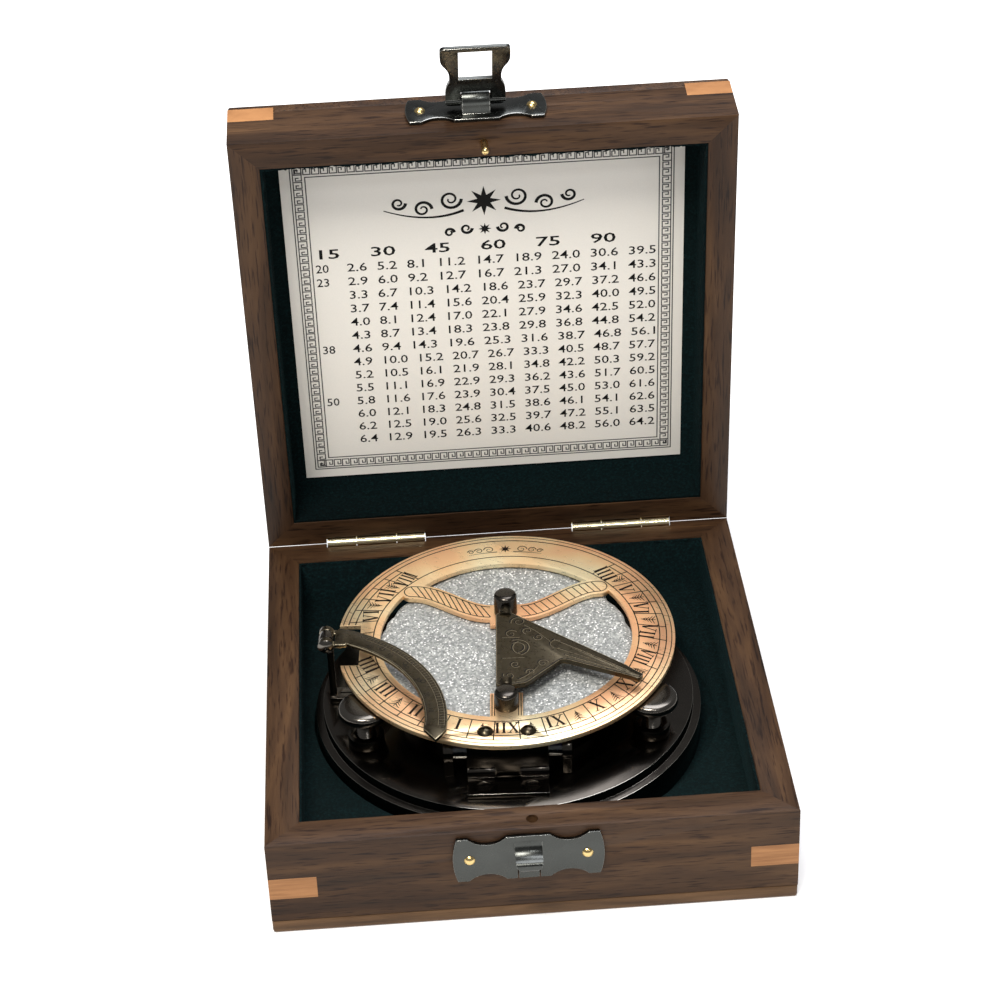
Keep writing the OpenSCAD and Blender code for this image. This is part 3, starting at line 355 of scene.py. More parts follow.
woodAcross = sheesham("sheesham_grain_across", (0, 0, 0))
woodDeep = sheesham("sheesham_grain_deep", (0, 0, quarter))
woodUp = sheesham("sheesham_grain_up", (lidOpen - quarter, quarter, 0))


def keyMaple():
    # pale hardwood splines, cut and sanded flush: honey colour with a faint straight grain
    mat, tree, shader = newMaterial("pale_hardwood", {"Roughness": 0.5, "Specular IOR Level": 0.35})
    place = mappedPlace(tree, (60, 60, 900))
    grain = noiseAt(tree, place, 1.0, 4.0, 0.6)
    tint = ramp(tree, grain.outputs["Fac"], [(0.3, "#8f6038"), (0.7, "#b98454")])
    tree.links.new(tint.outputs[0], shader.inputs["Base Color"])
    return mat


def boardWood():
    # the bottom board: a plainer, redder cut of the same wood, with lighter and darker bands of grain
    mat, tree, shader = newMaterial("bottom_board_wood", {"Roughness": 0.55, "Specular IOR Level": 0.3})
    place = mappedPlace(tree, (28, 420, 420))
    grain = noiseAt(tree, place, 1.0, 5.0, 0.6, 0.8)
    tint = ramp(tree, grain.outputs["Fac"], [(0.32, "#44301f"), (0.5, "#62482f"), (0.7, "#7a5c40")])
    tree.links.new(tint.outputs[0], shader.inputs["Base Color"])
    return mat


def greenFelt():
    # pressed wool felt, bottle green: a matt mat of fibres with light sheen and small tufts
    mat, tree, shader = newMaterial("green_felt", {
        "Roughness": 0.95, "Specular IOR Level": 0.1, "Sheen Weight": 0.04, "Sheen Roughness": 0.5,
        "Sheen Tint": hexColour("#4d7f7c")})
    tuftMm = 0.7
    tufts = noiseAt(tree, mappedPlace(tree, (1, 1, 1)), 1 / (tuftMm * mm), 5.0, 0.75)
    tint = ramp(tree, tufts.outputs["Fac"], [(0.32, "#010708"), (0.5, "#041214"), (0.72, "#0c2628")])
    tree.links.new(tint.outputs[0], shader.inputs["Base Color"])
    relief = addNode(tree, "ShaderNodeBump", {"Strength": 0.8, "Distance": 0.0004},
                     {"Height": tufts.outputs["Fac"]})
    tree.links.new(relief.outputs[0], shader.inputs["Normal"])
    return mat


def metal(name, colour, rough, grainMm=0.5, spread=0.12, tone=0.25):
    # one metal finish: even colour with slight clouding and fine wear that varies the gloss
    mat, tree, shader = newMaterial(name, {"Metallic": 1.0})
    place = mappedPlace(tree, (1, 1, 1))
    wear = noiseAt(tree, place, 1 / (grainMm * mm), 5.0, 0.65)
    cloud = noiseAt(tree, place, 160.0, 3.0, 0.55)
    gloss = addNode(tree, "ShaderNodeMapRange", {
        "From Min": 0.3, "From Max": 0.7, "To Min": max(0.02, rough - spread), "To Max": rough + spread},
        {"Value": wear.outputs["Fac"]})
    full = hexColour(colour)
    mixed = blended(tree, cloud.outputs["Fac"], [c * (1 - tone) for c in full[:3]] + [1], full)
    tree.links.new(mixed, shader.inputs["Base Color"])
    tree.links.new(gloss.outputs[0], shader.inputs["Roughness"])
    return mat


def copperSheet():
    # rolled copper, bright and lightly brushed: it shifts between cream and pink as the tarnish varies
    mat, tree, shader = newMaterial("copper", {"Metallic": 0.82, "Roughness": 0.3})
    patches = noiseAt(tree, mappedPlace(tree, (1, 1, 1)), 42.0, 2.0, 0.5)
    tint = ramp(tree, patches.outputs["Fac"], [(0.36, "#fbc294"), (0.5, "#ffd9a8"), (0.64, "#fff0c8")])
    lines = noiseAt(tree, mappedPlace(tree, (260, 3200, 3200), (0, 0, 0.5)), 1.0, 2.0, 0.5)
    gloss = addNode(tree, "ShaderNodeMapRange", {
        "From Min": 0.3, "From Max": 0.7, "To Min": 0.26, "To Max": 0.38}, {"Value": lines.outputs["Fac"]})
    tree.links.new(tint.outputs[0], shader.inputs["Base Color"])
    tree.links.new(gloss.outputs[0], shader.inputs["Roughness"])
    return mat


keyWood = keyMaple()
baseWood = boardWood()
felt = greenFelt()
gunSteel = metal("blackened_steel", "#4e504e", 0.27, grainMm=3.0, spread=0.05, tone=0.3)
# pale steel for the eased edges of the catch plates and hasp: a painted highlight along the edges
steelEdgeHighlight = metal("steel_edge_painted_highlight", "#a9a9a4", 0.2, tone=0.2)
yellowBrass = metal("brass", "#dcc084", 0.26, grainMm=2.0, spread=0.05, tone=0.12)
paleBrass = metal("polished_brass", "#f6ebc4", 0.2, grainMm=3.0, spread=0.03, tone=0.06)
blackBronze = metal("black_nickel_plate", "#4c4843", 0.2, grainMm=4.0, spread=0.02, tone=0.25)
# light nickel for the eased edges of the base plate and dial leaves: a painted highlight, the thin bright
# line along the rims
nickelEdgePaintedHighlight = metal("nickel_edge_painted_highlight", "#a8a49c", 0.15, grainMm=4.0, spread=0.02, tone=0.1)
agedBronze = metal("antique_bronze", "#524b3d", 0.3, grainMm=1.2, spread=0.08, tone=0.4)
# light bronze for the eased edges of the gnomon and arc: partly rubbed wear, partly a painted highlight along
# the edges
bronzeEdgeWearAndHighlight = metal("bronze_edge_rubbed_and_highlight", "#a59a80", 0.24, tone=0.3)
darkChrome = metal("dark_chrome", "#6a6660", 0.2, grainMm=3.0, spread=0.03, tone=0.2)
bareCopper = copperSheet()
bluedSteel = metal("blued_steel", "#3a4668", 0.25)
# light bronze for thin strips beside the engraved grooves: a painted highlight
reliefHighlight = metal("bronze_painted_highlight", "#a79a80", 0.3)


def flatColour(name, colour, rough):
    # plain matt filling of an engraved line, or ink
    return newMaterial(name, {
        "Roughness": rough, "Base Color": hexColour(colour), "Specular IOR Level": 0.2})[0]


waxBlack = flatColour("engraving_wax", "#1a110b", 0.8)
reliefDark = flatColour("bronze_groove", "#14120f", 0.6)
inkBlack = flatColour("printing_ink", "#131313", 0.8)
inkGrey = flatColour("grey_printing_ink", "#4a4a4a", 0.8)
print("materials made")

# Case and lid

boxSet = {"edgeMm": 0.35, "cornerMm": 1.3, "boardMm": 0.7, "slackMm": 0.2, "seamMm": 0.5}


def woodPiece(node, body, material, place):
    # sanded edges: small on the long ones, round on the box's upright corners, none where lid meets case
    bm = mergedCopy(node)
    bmesh.ops.transform(bm, matrix=place.inverted(), verts=bm.verts[:])
    outside = lidAt.y - boxSet["slackMm"] * mm
    small, upright = [], []
    for e in bm.edges:
        if len(e.link_faces) != 2 or e.calc_face_angle(0) < sharpAngle:
            continue
        mitres = [f for f in e.link_faces
                  if abs(abs(f.normal.x) - abs(f.normal.y)) < 0.05 and abs(f.normal.z) < 0.1]
        mid = (e.verts[0].co + e.verts[1].co) / 2
        if mitres:
            if len(mitres) == 1 and min(abs(mid.x), abs(mid.y)) > outside:
                upright.append(e)
        elif not (mid.y > outside and abs(mid.z - lidAt.z) < boxSet["seamMm"] * mm):
            small.append(e)
    for edges, width, segments in ((small, boxSet["edgeMm"], 2), (upright, boxSet["cornerMm"], 3)):
        eased(bm, [e for e in edges if e.is_valid], width, segments)
    bmesh.ops.transform(bm, matrix=place, verts=bm.verts[:])
    return makePiece(node + "_finished", bm, body, material, replaced=(node,))


for side, grain in (("front", woodAcross), ("back", woodAcross), ("left", woodDeep), ("right", woodDeep)):
    woodPiece(side + "_wall", "case", grain, still)
for side, grain in (("front", woodAcross), ("back", woodAcross), ("left", woodUp), ("right", woodUp)):
    woodPiece("lid_" + side + "_wall", "lid", grain, onLid)
dressed("lid_panel", "lid", woodUp, boxSet["boardMm"])
dressed("bottom_board", "case", baseWood, boxSet["boardMm"])
for node in ("corner_keys", "well_block", "lid_corner_keys"):
    paintNode(node, keyWood)
print("wood done")

# Felt linings, one sheet pressed into the case and one into the lid


def feltLining(node, body):
    bm = mergedCopy(node)
    bmesh.ops.triangulate(bm, faces=bm.faces[:])
    piece = makePiece(node + "_cloth", bm, body, felt, replaced=(node,))
    return piece


feltLining("well_felt", "case")
feltLining("lid_felt", "lid")
print("felt done")

# Metal parts that keep their CAD shape, with eased edges

# where a pair of materials is given, the second colours the eased edges lighter: a painted highlight along
# the edges
for node, body, finish, ease, slotName in (
    ("catch_hook_plate", "case", [gunSteel, steelEdgeHighlight], 0.22, "dark_steel"),
    ("catch_loop_plate", "lid", [gunSteel, steelEdgeHighlight], 0.22, "dark_steel"),
    ("hasp", "hasp_body", [gunSteel, steelEdgeHighlight], 0.25, "dark_steel"),
    ("base_plate", "instrument", [blackBronze, nickelEdgePaintedHighlight], 0.22, "black_bronze"),
    ("screw_bosses", "instrument", blackBronze, 0.4, "antique_bronze"),
    ("compass_bowl", "instrument", blackBronze, 0.2, "black_bronze"),
    ("glass_ring", "instrument", blackBronze, 0.2, "antique_bronze"),
    ("level_brackets", "instrument", blackBronze, 0.2, "antique_bronze"),
    ("dial_lower_leaf", "instrument", [blackBronze, nickelEdgePaintedHighlight], 0.14, "antique_bronze"),
    ("dial_upper_leaf", "dial", [blackBronze, nickelEdgePaintedHighlight], 0.14, "antique_bronze"),
    ("arc_bracket", "instrument", blackBronze, 0.15, "antique_bronze"),
    ("gnomon", "gnomon_body", [agedBronze, bronzeEdgeWearAndHighlight], 0.16, "antique_bronze"),
    ("latitude_arc", "arc_body", [agedBronze, bronzeEdgeWearAndHighlight], 0.16, "antique_bronze"),
    ("hour_ring", "dial", bareCopper, 0.25, "copper"),
):
    dressed(node, body, finish, ease)
for node, finish in (
    ("lower_hinge_leaves", paleBrass), ("upper_hinge_leaves", paleBrass), ("hinge_pins", paleBrass),
    ("lower_hinge_screws", yellowBrass), ("upper_hinge_screws", yellowBrass), ("locating_pin", yellowBrass),
    ("lower_catch_nails", yellowBrass), ("upper_catch_nails", yellowBrass), ("dial_hinge_pin", darkChrome),
    ("lower_leaf_screws", darkChrome), ("arc_bracket_screw", darkChrome), ("ring_screws", agedBronze),
    ("gnomon_pins", agedBronze), ("arc_pivot_pin", darkChrome), ("needle", bluedSteel),
    ("needle_cap", yellowBrass), ("needle_pivot", yellowBrass),
):
    paintNode(node, finish)
    shadeSmooth(frame["nodes"][node].data, 30)
print("metal done")

# Levelling screws: bun-shaped knobs with a finely notched rim, on threaded shanks

knobSet = {
    "profile": ((0.36, 0), (0.64, 0.02), (0.8, 0.12), (0.92, 0.26), (0.985, 0.42), (1.0, 0.56), (0.995, 0.68),
                (0.965, 0.8), (0.91, 0.88), (0.83, 0.935), (0.66, 0.975), (0.4, 0.993), (0, 1)),
    "notches": 56, "notchDeep": 0.09, "notchSpan": (0.2, 0.85),
    "pitch": 0.8, "threadDeep": 0.35, "pointIn": 0.8, "plainEnd": 4.2,
}


def middleOf(node):
    low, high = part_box(node)
    return (low + high) / 2, low, (high.x - low.x) / 2, high.z - low.z


def knobPiece(side, spec):
    centre, low, r, h = middleOf(side + "_knob")
    first, last = spec["notchSpan"]
    bm = spun([(r * a, h * b) for a, b in spec["profile"]], steps=spec["notches"] * 2)
    for v in bm.verts:
        out = math.hypot(v.co.x, v.co.y)
        turn = round(math.atan2(v.co.y, v.co.x) * spec["notches"] / math.pi)
        if first * h < v.co.z < last * h and turn % 2:
            v.co.xy *= 1 - spec["notchDeep"] * mm / out
    bmesh.ops.translate(bm, vec=(centre.x, centre.y, low.z), verts=bm.verts[:])
    return makePiece(side + "_knob_turned", bm, side + "_grip", darkChrome,
                     replaced=(side + "_knob",))


def shankPiece(side, spec):
    centre, low, r, h = middleOf(side + "_shank")
    deep = spec["threadDeep"] * mm
    half = spec["pitch"] * mm / 2
    profile = [(0, 0), (r - spec["pointIn"] * mm, 0)]
    z = half
    while z < h - spec["plainEnd"] * mm:
        profile += [(r - deep, z), (r, z + half)]
        z += 2 * half
    profile += [(r - deep, z), (r - deep, h), (0, h)]
    bm = spun(profile, steps=40, centre=(centre.x, centre.y, low.z))
    return makePiece(side + "_shank_threaded", bm, side + "_screw", darkChrome, smoothDeg=50,
                     replaced=(side + "_shank",))


for side in ("right", "left", "back"):
    knobPiece(side, knobSet)
    shankPiece(side, knobSet)

# Posts that carry the gnomon: polished, with domed tops

postSet = {
    "r": 3.1, "posts": ((11.9, 5.2), (51.3, 6.4)),       # (place, height) of the front and the back one
    "ringTop": 11.5,
    "dome": ((1.0, 1.5), (0.985, 1.05), (0.93, 0.62), (0.8, 0.28), (0.55, 0.08)),
}


def postPieces(spec):
    bm = bmesh.new()
    r = spec["r"]
    for y, h in spec["posts"]:
        shape = [(0, 0), (r, 0)] + [(r * share, h - down) for share, down in spec["dome"]] + [(0, h)]
        part = spun([(a * mm, b * mm) for a, b in shape], steps=48, centre=(0, y * mm, spec["ringTop"] * mm))
        mesh = bpy.data.meshes.new("post")
        part.to_mesh(mesh)
        part.free()
        bm.from_mesh(mesh)
        bpy.data.meshes.remove(mesh)
    return makePiece("gnomon_posts_turned", bm, "dial", blackBronze,
                     replaced=("gnomon_posts",), place=onDial)


postPieces(postSet)
print("turned parts done")


def clearGlass(name, colour, ior=1.5):
    # polished glass, or the liquid in it: clear, with sharp reflections
    return newMaterial(name, {
        "Base Color": hexColour(colour), "Roughness": 0.02, "IOR": ior, "Transmission Weight": 1.0})[0]


glassClear = clearGlass("window_glass", "#f2f8f8")
levelBlue = clearGlass("tinted_alcohol", "#1a2c9a", 1.36)
paintNode("compass_glass", glassClear)
paintNode("level_vial", glassClear)
paintNode("level_liquid", levelBlue)


def paperMaterial(name, colour):
    # printed paper: matt, faint fibre mottling
    mat, tree, shader = newMaterial(name, {"Roughness": 0.85, "Specular IOR Level": 0.2})
    fibre = noiseAt(tree, mappedPlace(tree, (1, 1, 1)), 2600.0, 3.0, 0.5)
    full = hexColour(colour)
    mixed = blended(tree, fibre.outputs["Fac"], [c * 0.93 for c in full[:3]] + [1], full)
    tree.links.new(mixed, shader.inputs["Base Color"])
    return mat


paintNode("instruction_card", paperMaterial("card_paper", "#faf7f0"))
paintNode("compass_card", paperMaterial("compass_card_paper", "#e6e0cc"))


def foamWhite():
    # expanded polyethylene foam: grey-white closed cells half a millimetre across, a few with painted glints,
    # near-white in their middles
    mat, tree, shader = newMaterial("expanded_foam", {"Roughness": 0.4, "Specular IOR Level": 0.4})
    cellMm = 0.52
    place = mappedPlace(tree, (1, 1, 1))
    cells = addNode(tree, "ShaderNodeTexVoronoi", {"Scale": 1 / (cellMm * mm)}, {"Vector": place})
    split = addNode(tree, "ShaderNodeSeparateColor", None, {"Color": cells.outputs["Color"]})
    body = ramp(tree, split.outputs[0], [(0.0, "#757878"), (0.6, "#989b9a"), (1.0, "#b9bbb9")])
    # painted glints: a few cells coloured near-white towards their middles
    paintedGlintCells = ramp(tree, split.outputs[1], [(0.8, "#000000"), (0.9, "#ffffff")])
    hub = ramp(tree, cells.outputs["Distance"], [(0.3, "#ffffff"), (0.62, "#000000")])
    glint = computed(tree, "MULTIPLY", paintedGlintCells.outputs[0], hub.outputs[0])
    mixed = blended(tree, glint, body.outputs[0], hexColour("#fdfdfd"))
    tree.links.new(mixed, shader.inputs["Base Color"])
    relief = addNode(tree, "ShaderNodeBump", {"Strength": 0.45, "Distance": 0.00025, "invert": True},
                     {"Height": cells.outputs["Distance"]})
    tree.links.new(relief.outputs[0], shader.inputs["Normal"])
    return mat


foam = foamWhite()

# Foam: a torn round of packing foam squeezed between the compass and the dial

foamSet = {
    "reach": 34.9, "ragged": 0.8, "rings": 48, "around": 160, "lump": 0.22,
    "back": 4.2, "frontCut": (11.2, -30.9), "knobTop": 33.4,
    "dialUnder": 10.2 - 0.34,      # the dial's underside over its hinge
    "hingeBack": 36,               # from that hinge to the instrument's middle
    "edgeFrom": 0.93, "edgeSag": 0.7, "underIn": 0.985, "pastBowl": 3,
}


def foamPiece(spec):
    # it follows the dial's underside, sags at its torn edge and lies on the glass and over the back knob
    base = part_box("foam_pad")[0].z / mm
    bowlLow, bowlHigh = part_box("compass_bowl")
    overKnob = (bowlHigh.x - bowlLow.x) / 2 / mm + spec["pastBowl"]
    count = spec["around"]

    def reachAt(angle):
        x, y = math.cos(angle), math.sin(angle)
        r = spec["reach"] + spec["back"] * max(0.0, y) ** 3
        r += spec["ragged"] * (noise.noise(Vector((x * 9, y * 9, 3.1))) - 0.5)
        while abs(r * x) < spec["frontCut"][0] and r * y < spec["frontCut"][1]:
            r -= 0.1
        return r

    bm = bmesh.new()
    angles = [2 * math.pi * i / count for i in range(count)]
    limits = [reachAt(a) for a in angles]
    rows = []
    for j in range(1, spec["rings"] + 1):
        share = (j / spec["rings"]) ** 0.8
        row = []
        for a, limit in zip(angles, limits):
            x, y = limit * share * math.cos(a), limit * share * math.sin(a)
            top = (hingeAt.z / mm + spec["dialUnder"] / math.cos(dialLean)
                   + (y + spec["hingeBack"]) * math.tan(dialLean))
            lump = spec["lump"] * (noise.noise(Vector((x * 0.9, y * 0.9, 0.5))) - 0.6)
            edge = max(0.0, (share - spec["edgeFrom"]) / (1 - spec["edgeFrom"]))
            row.append(bm.verts.new((x, y, max(base + 0.5, top + lump - spec["edgeSag"] * edge * edge))))
        rows.append(row)
    hub = bm.verts.new((0, 0, sum(v.co.z for v in rows[0]) / count))
    lower = []
    for v in rows[-1]:
        under = spec["knobTop"] if v.co.y > overKnob else base
        lower.append(bm.verts.new((v.co.x * spec["underIn"], v.co.y * spec["underIn"], under)))
    for i in range(count):
        n = (i + 1) % count
        bm.faces.new((hub, rows[0][i], rows[0][n]))
        for inner, outer in zip(rows, rows[1:] + [lower]):
            bm.faces.new((inner[i], outer[i], outer[n], inner[n]))
    bm.faces.new(lower[::-1])
    bmesh.ops.recalc_face_normals(bm, faces=bm.faces[:])
    place = onInstrument @ Matrix.Scale(mm, 4)
    piece = makePiece("foam_sheet", bm, "instrument", foam, smoothDeg=60, replaced=("foam_pad",),
                      place=place)
    return piece


foamPiece(foamSet)
print("foam done")

# Hour ring engraving, drawn in millimetres about the ring's middle

ringSet = {
    "behindHinge": 40.9, "top": 11.5, "hourPoint": 10.2, "notchX": -38.9, "notch": (-10.8, 6.2),
    "inner": 35.4, "track": 40.9, "outer": 42.7, "rim": 44.1, "line": 0.3,
    "capHeight": 4.0, "letterFoot": 35.9, "firHeight": 4.0, "lastDeg": 124,
    "badge": 38.9, "badgeStar": (1.7, 0.7), "badgeScrolls": ((16, 1.5), (26, 1.2), (34, 0.9)),
    "right": {15: "XI", 30: "X", 45: "IX", 60: "VIII", 75: "VII", 90: "VI", 105: "V", 120: "IIII"},
    "left": {15: "I", 30: "II", 45: "III", 60: "IIII", 90: "VI", 105: "VII", 120: "VIII"},
}


def letterStrokes(letter):
    # (thick strokes, thin strokes, serifs, advance) in parts of the cap height
    if letter == "I":
        return [((0.22, 0), (0.22, 1))], [], [(0.22, 0), (0.22, 1)], 0.44
    if letter == "V":
        return [((0.14, 1), (0.42, 0.02))], [((0.68, 1), (0.42, 0.02))], [(0.14, 1), (0.68, 1)], 0.82
    corners = [(0.14, 1), (0.66, 1), (0.14, 0), (0.66, 0)]
    return [(corners[0], corners[3])], [(corners[1], corners[2])], corners, 0.82


def numeral(bm, text, middle, up, height):
    right = Vector((up.y, -up.x))
    total = sum(letterStrokes(c)[3] for c in text)
    squeeze = min(1.0, 1.62 / total)
    u = -total / 2

    def at(x, y):
        return middle + right * (u + x) * height * squeeze + up * y * height

    for c in text:
        thick, thin, serifs, advance = letterStrokes(c)
        for p, q in thick:
            bar(bm, at(*p), at(*q), 0.17 * height * squeeze)
        for p, q in thin:
            bar(bm, at(*p), at(*q), 0.07 * height)
        for p in serifs:
            bar(bm, at(p[0] - 0.15, p[1]), at(p[0] + 0.15, p[1]), 0.06 * height)
        u += advance


def firMark(bm, foot, tipward, size):
    side = Vector((-tipward.y, tipward.x))
    bar(bm, foot, foot + tipward * size, 0.22)
    for level, reach in ((0.16, 0.42), (0.36, 0.36), (0.56, 0.26), (0.76, 0.16)):
        at = foot + tipward * size * level
        for s in (-1, 1):
            end = at + side * s * reach * size - tipward * size * 0.12
            strip(bm, [at + tipward * size * 0.1, (at + end) / 2 + tipward * 0.12, end], 0.34, 0.12)


def ringEngraving(spec):
    bm = bmesh.new()
    origin = Vector((0, spec["hourPoint"]))
    notchLow, notchHigh = spec["notch"]

    def rayAt(deg, r):
        a = math.radians(deg)
        d = Vector((math.sin(a), -math.cos(a)))
        along = -origin.dot(d)
        return origin + d * (along + math.sqrt(along * along - origin.length_squared + r * r)), d

    def inNotch(p):
        return p.x < spec["notchX"] + 0.3 and notchLow - 0.3 < p.y < notchHigh + 0.3

    def circleWithNotch(r, fromDeg, width):
        low = 180 + math.degrees(math.asin(-(notchHigh + 0.2) / r))
        high = 180 + math.degrees(math.asin(-(notchLow - 0.2) / r))
        strip(bm, circlePoints(0, 0, r, fromDeg, low), width)
        strip(bm, circlePoints(0, 0, r, high, 270), width)

    strip(bm, circlePoints(0, 0, spec["inner"], -90, 270), spec["line"])
    circleWithNotch(spec["outer"], -90, spec["line"])
    circleWithNotch(spec["rim"], -90, spec["line"] * 0.8)
    last = rayAt(123.75, spec["track"])[0]
    lastDeg = math.degrees(math.atan2(last.y, last.x))
    strip(bm, circlePoints(0, 0, spec["track"], -90, lastDeg), spec["line"])
    circleWithNotch(spec["track"], 180 - lastDeg, spec["line"])
    numeral(bm, "XII", rayAt(0, spec["letterFoot"])[0], Vector((0, -1)), spec["capHeight"])
    for side, hours in ((1, spec["right"]), (-1, spec["left"])):
        for step in range(0, 9):
            for offset in (3.75, 11.25):
                deg = side * (15 * step + offset)
                if abs(deg) > spec["lastDeg"]:
                    continue
                inner, outer = rayAt(deg, spec["inner"])[0], rayAt(deg, spec["outer"])[0]
                if inNotch(outer):
                    toNotch = abs(spec["notchX"]) - 0.4 + inner.x
                    outer = inner + (outer - inner) * toNotch / (inner.x - outer.x)
                bar(bm, inner, outer, spec["line"])
            if step < 8:
                foot, d = rayAt(side * (15 * step + 7.5), spec["track"] - 0.5)
                if not inNotch(foot):
                    firMark(bm, foot, -d, spec["firHeight"])
        for deg, text in hours.items():
            foot, d = rayAt(side * deg, spec["letterFoot"])
            numeral(bm, text, foot, d, spec["capHeight"])
    badge = spec["badge"]
    star(bm, 0, badge, *spec["badgeStar"], 8)
    for s in (-1, 1):
        for start, size in spec["badgeScrolls"]:
            a = math.radians(90 - s * start * 0.42)
            cx, cy = badge * math.cos(a), badge * math.sin(a)
            strip(bm, spiralPoints(cx, cy, size, 0.25, 90 - s * 90, s * 500), 0.3, 0.12)
        strip(bm, circlePoints(0, 0, badge - 1.3, 90 - s * 3.4, 90 - s * 15.5), 0.3, 0.1)
    return makePiece("hour_ring_engraving", bm, "dial", waxBlack, place=onRing)


engraved = 0.02      # millimetres that a drawn line stands above its face
onRing = (onDial @ Matrix.Translation((0, ringSet["behindHinge"] * mm, (ringSet["top"] + engraved) * mm))
          @ Matrix.Scale(mm, 4))
ringEngraving(ringSet)

# Curved bar and tab: an inset outline with slanting hatching

barSet = {
    "endX": 25.37, "endY": 20.47, "midX": 4, "midY": 10.4, "inset": 2.25, "hatch": 1.75, "slant": -2.6,
    "line": 0.28, "tabLines": (3.1, 3.75), "tabSpan": (-24.4, -33.2),
}


def barY(x, spec):
    u = min(1.0, max(0.0, (abs(x) - spec["midX"]) / (spec["endX"] - spec["midX"])))
    return spec["midY"] + (spec["endY"] - spec["midY"]) * u * u * (3 - 2 * u)


def barEdge(x, s, spec):
    slope = (barY(x + 0.1, spec) - barY(x - 0.1, spec)) / 0.2
    return (x, barY(x, spec) + s * spec["inset"] * math.sqrt(1 + slope * slope))


def barEngraving(spec):
    bm = bmesh.new()
    for side in (-1, 1):
        xs = [side * (4.2 + (spec["endX"] - 4.2) * i / 24) for i in range(25)]
        for s in (-1, 1):
            strip(bm, [barEdge(x, s, spec) for x in xs], spec["line"])
        turn = 90 if side < 0 else -90
        roundEnd = circlePoints(side * spec["endX"], spec["endY"], spec["inset"], turn, turn + 180)
        strip(bm, roundEnd, spec["line"])
        x = 5.4
        while x < spec["endX"] + 0.6:
            low = barEdge(side * x - spec["slant"] / 2, -1, spec)
            high = barEdge(side * x + spec["slant"] / 2, 1, spec)
            bar(bm, low, high, spec["line"])
            x += spec["hatch"]
        for x in spec["tabLines"]:
            bar(bm, (side * x, spec["tabSpan"][0]), (side * x, spec["tabSpan"][1]), spec["line"] * 0.9)
    return makePiece("curved_bar_engraving", bm, "dial", waxBlack, place=onRing)


barEngraving(barSet)

# Gnomon: engraved border, scrolls and a pair of lines along the arm, on both faces

gnomonSet = {"axisUp": 14.5, "thick": 1.4, "front": 15.9, "back": 45.9, "reach": 35.4, "heel": 2.6}


def gnomonOutline(spec):
    front, back, reach, heel = spec["front"], spec["back"], spec["reach"], spec["heel"]
    span = back - front
    brow = (reach - 4.2, front + 0.22 * span)
    throat = (reach * 0.415, front + 0.34 * span)
    belly = (reach * 0.18, front + 0.05 * span)
    return ([(-heel, front + 0.5), (-heel, back - 0.5), (0.5 - heel, back), (1.6, back)]
            + bend(brow, (brow[0] + 1.4, brow[1] - 1.6), (reach, front + 0.09 * span), 4)
            + [(reach - 0.9, front + 0.04 * span), (reach - 2.6, front + 0.06 * span)]
            + bend((throat[0] + 1.4, throat[1] - 0.7), throat, (throat[0] - 1, throat[1] - 1.1), 3)
            + bend((belly[0] + 0.9, belly[1] + 1.2), belly, (belly[0] - 1.6, belly[1] - 1), 3)
            + [(1.6, front), (0.5 - heel, front)])


def gnomonDrawing(bm, shift, width):
    def moved(points):
        return [(x + shift, y - shift) for x, y in points]

    for cx, cy, size, start, turn in (
        (3.2, 42.2, 2.1, 200, -520), (1.2, 37.0, 1.7, 30, 480), (5.6, 38.2, 1.5, 250, -430),
        (0.6, 19.6, 1.6, 150, 470), (2.2, 24.2, 1.4, -40, -450), (8.4, 35.4, 1.4, 180, 420),
        (9.4, 24.4, 1.5, 10, 460), (6.2, 21.0, 1.3, 200, -420),
    ):
        strip(bm, moved(spiralPoints(cx, cy, size, 0.3, start, turn)), width, width * 0.5)
    strip(bm, moved(circlePoints(2.6, 31.2, 3.3, -70, 110)), width)
    strip(bm, moved(circlePoints(2.6, 31.2, 2.1, -80, 120)), width)
    strip(bm, moved(circlePoints(4.6, 31.2, 3.0, 120, 250)), width)
    strip(bm, moved(bend((4.6, 40.8), (8.6, 37.6), (11.6, 33.0), 8)), width, width * 0.4)
    strip(bm, moved(bend((3.0, 18.0), (6.4, 20.0), (8.2, 23.4), 8)), width, width * 0.4)
    strip(bm, moved(bend((12.4, 34.2), (22, 27.6), (31.6, 20.2), 12)), width)
    strip(bm, moved(bend((15.2, 27.6), (22, 24.2), (32.2, 18.8), 12)), width)
    strip(bm, moved(bend((13.0, 30.6), (20, 27.0), (31.0, 19.9), 12)), width, width * 0.5)
    strip(bm, moved(circlePoints(13.2, 32.2, 1.7, 60, 300)), width, width * 0.5)
    bar(bm, (-1.2 + shift, 26.6), (4.6 + shift, 26.6), width)
    bar(bm, (-1.2 + shift, 35.2), (3.4 + shift, 35.2), width)


def gnomonEngraving(spec):
    # each groove is a dark line with a painted highlight beside it: a thin lighter strip, offset to one side,
    # standing in for light on the groove's edge
    faceUp = onDial @ Matrix.Translation((0, 0, spec["axisUp"] * mm)) @ Matrix.Scale(mm, 4)
    for name, shift, width, finish, lift in (
        ("gnomon_grooves", 0.0, 0.42, reliefDark, engraved),
        ("gnomon_painted_highlights", 0.28, 0.16, reliefHighlight, 0.03),
    ):
        bm = bmesh.new()
        gnomonDrawing(bm, shift, width)
        borderOf(bm, [(x + shift * 0.5, y - shift * 0.5) for x, y in gnomonOutline(spec)], 0.7, width)
        upper = bm.verts[:]
        copied = bmesh.ops.duplicate(bm, geom=bm.faces[:])["geom"]
        lower = [g for g in copied if isinstance(g, bmesh.types.BMVert)]
        height = spec["thick"] / 2 + lift
        bmesh.ops.translate(bm, vec=(0, 0, height), verts=upper)
        bmesh.ops.translate(bm, vec=(0, 0, -height), verts=lower)
        makePiece(name, bm, "gnomon_body", finish, place=faceUp)


gnomonEngraving(gnomonSet)

# Latitude arc: degree marks along its outer edge, a border and small rings

arcSet = {"centre": (-57.4, -36.8), "up": 40.15, "inner": 36.8, "outer": 42.6, "from": -4, "to": 60}


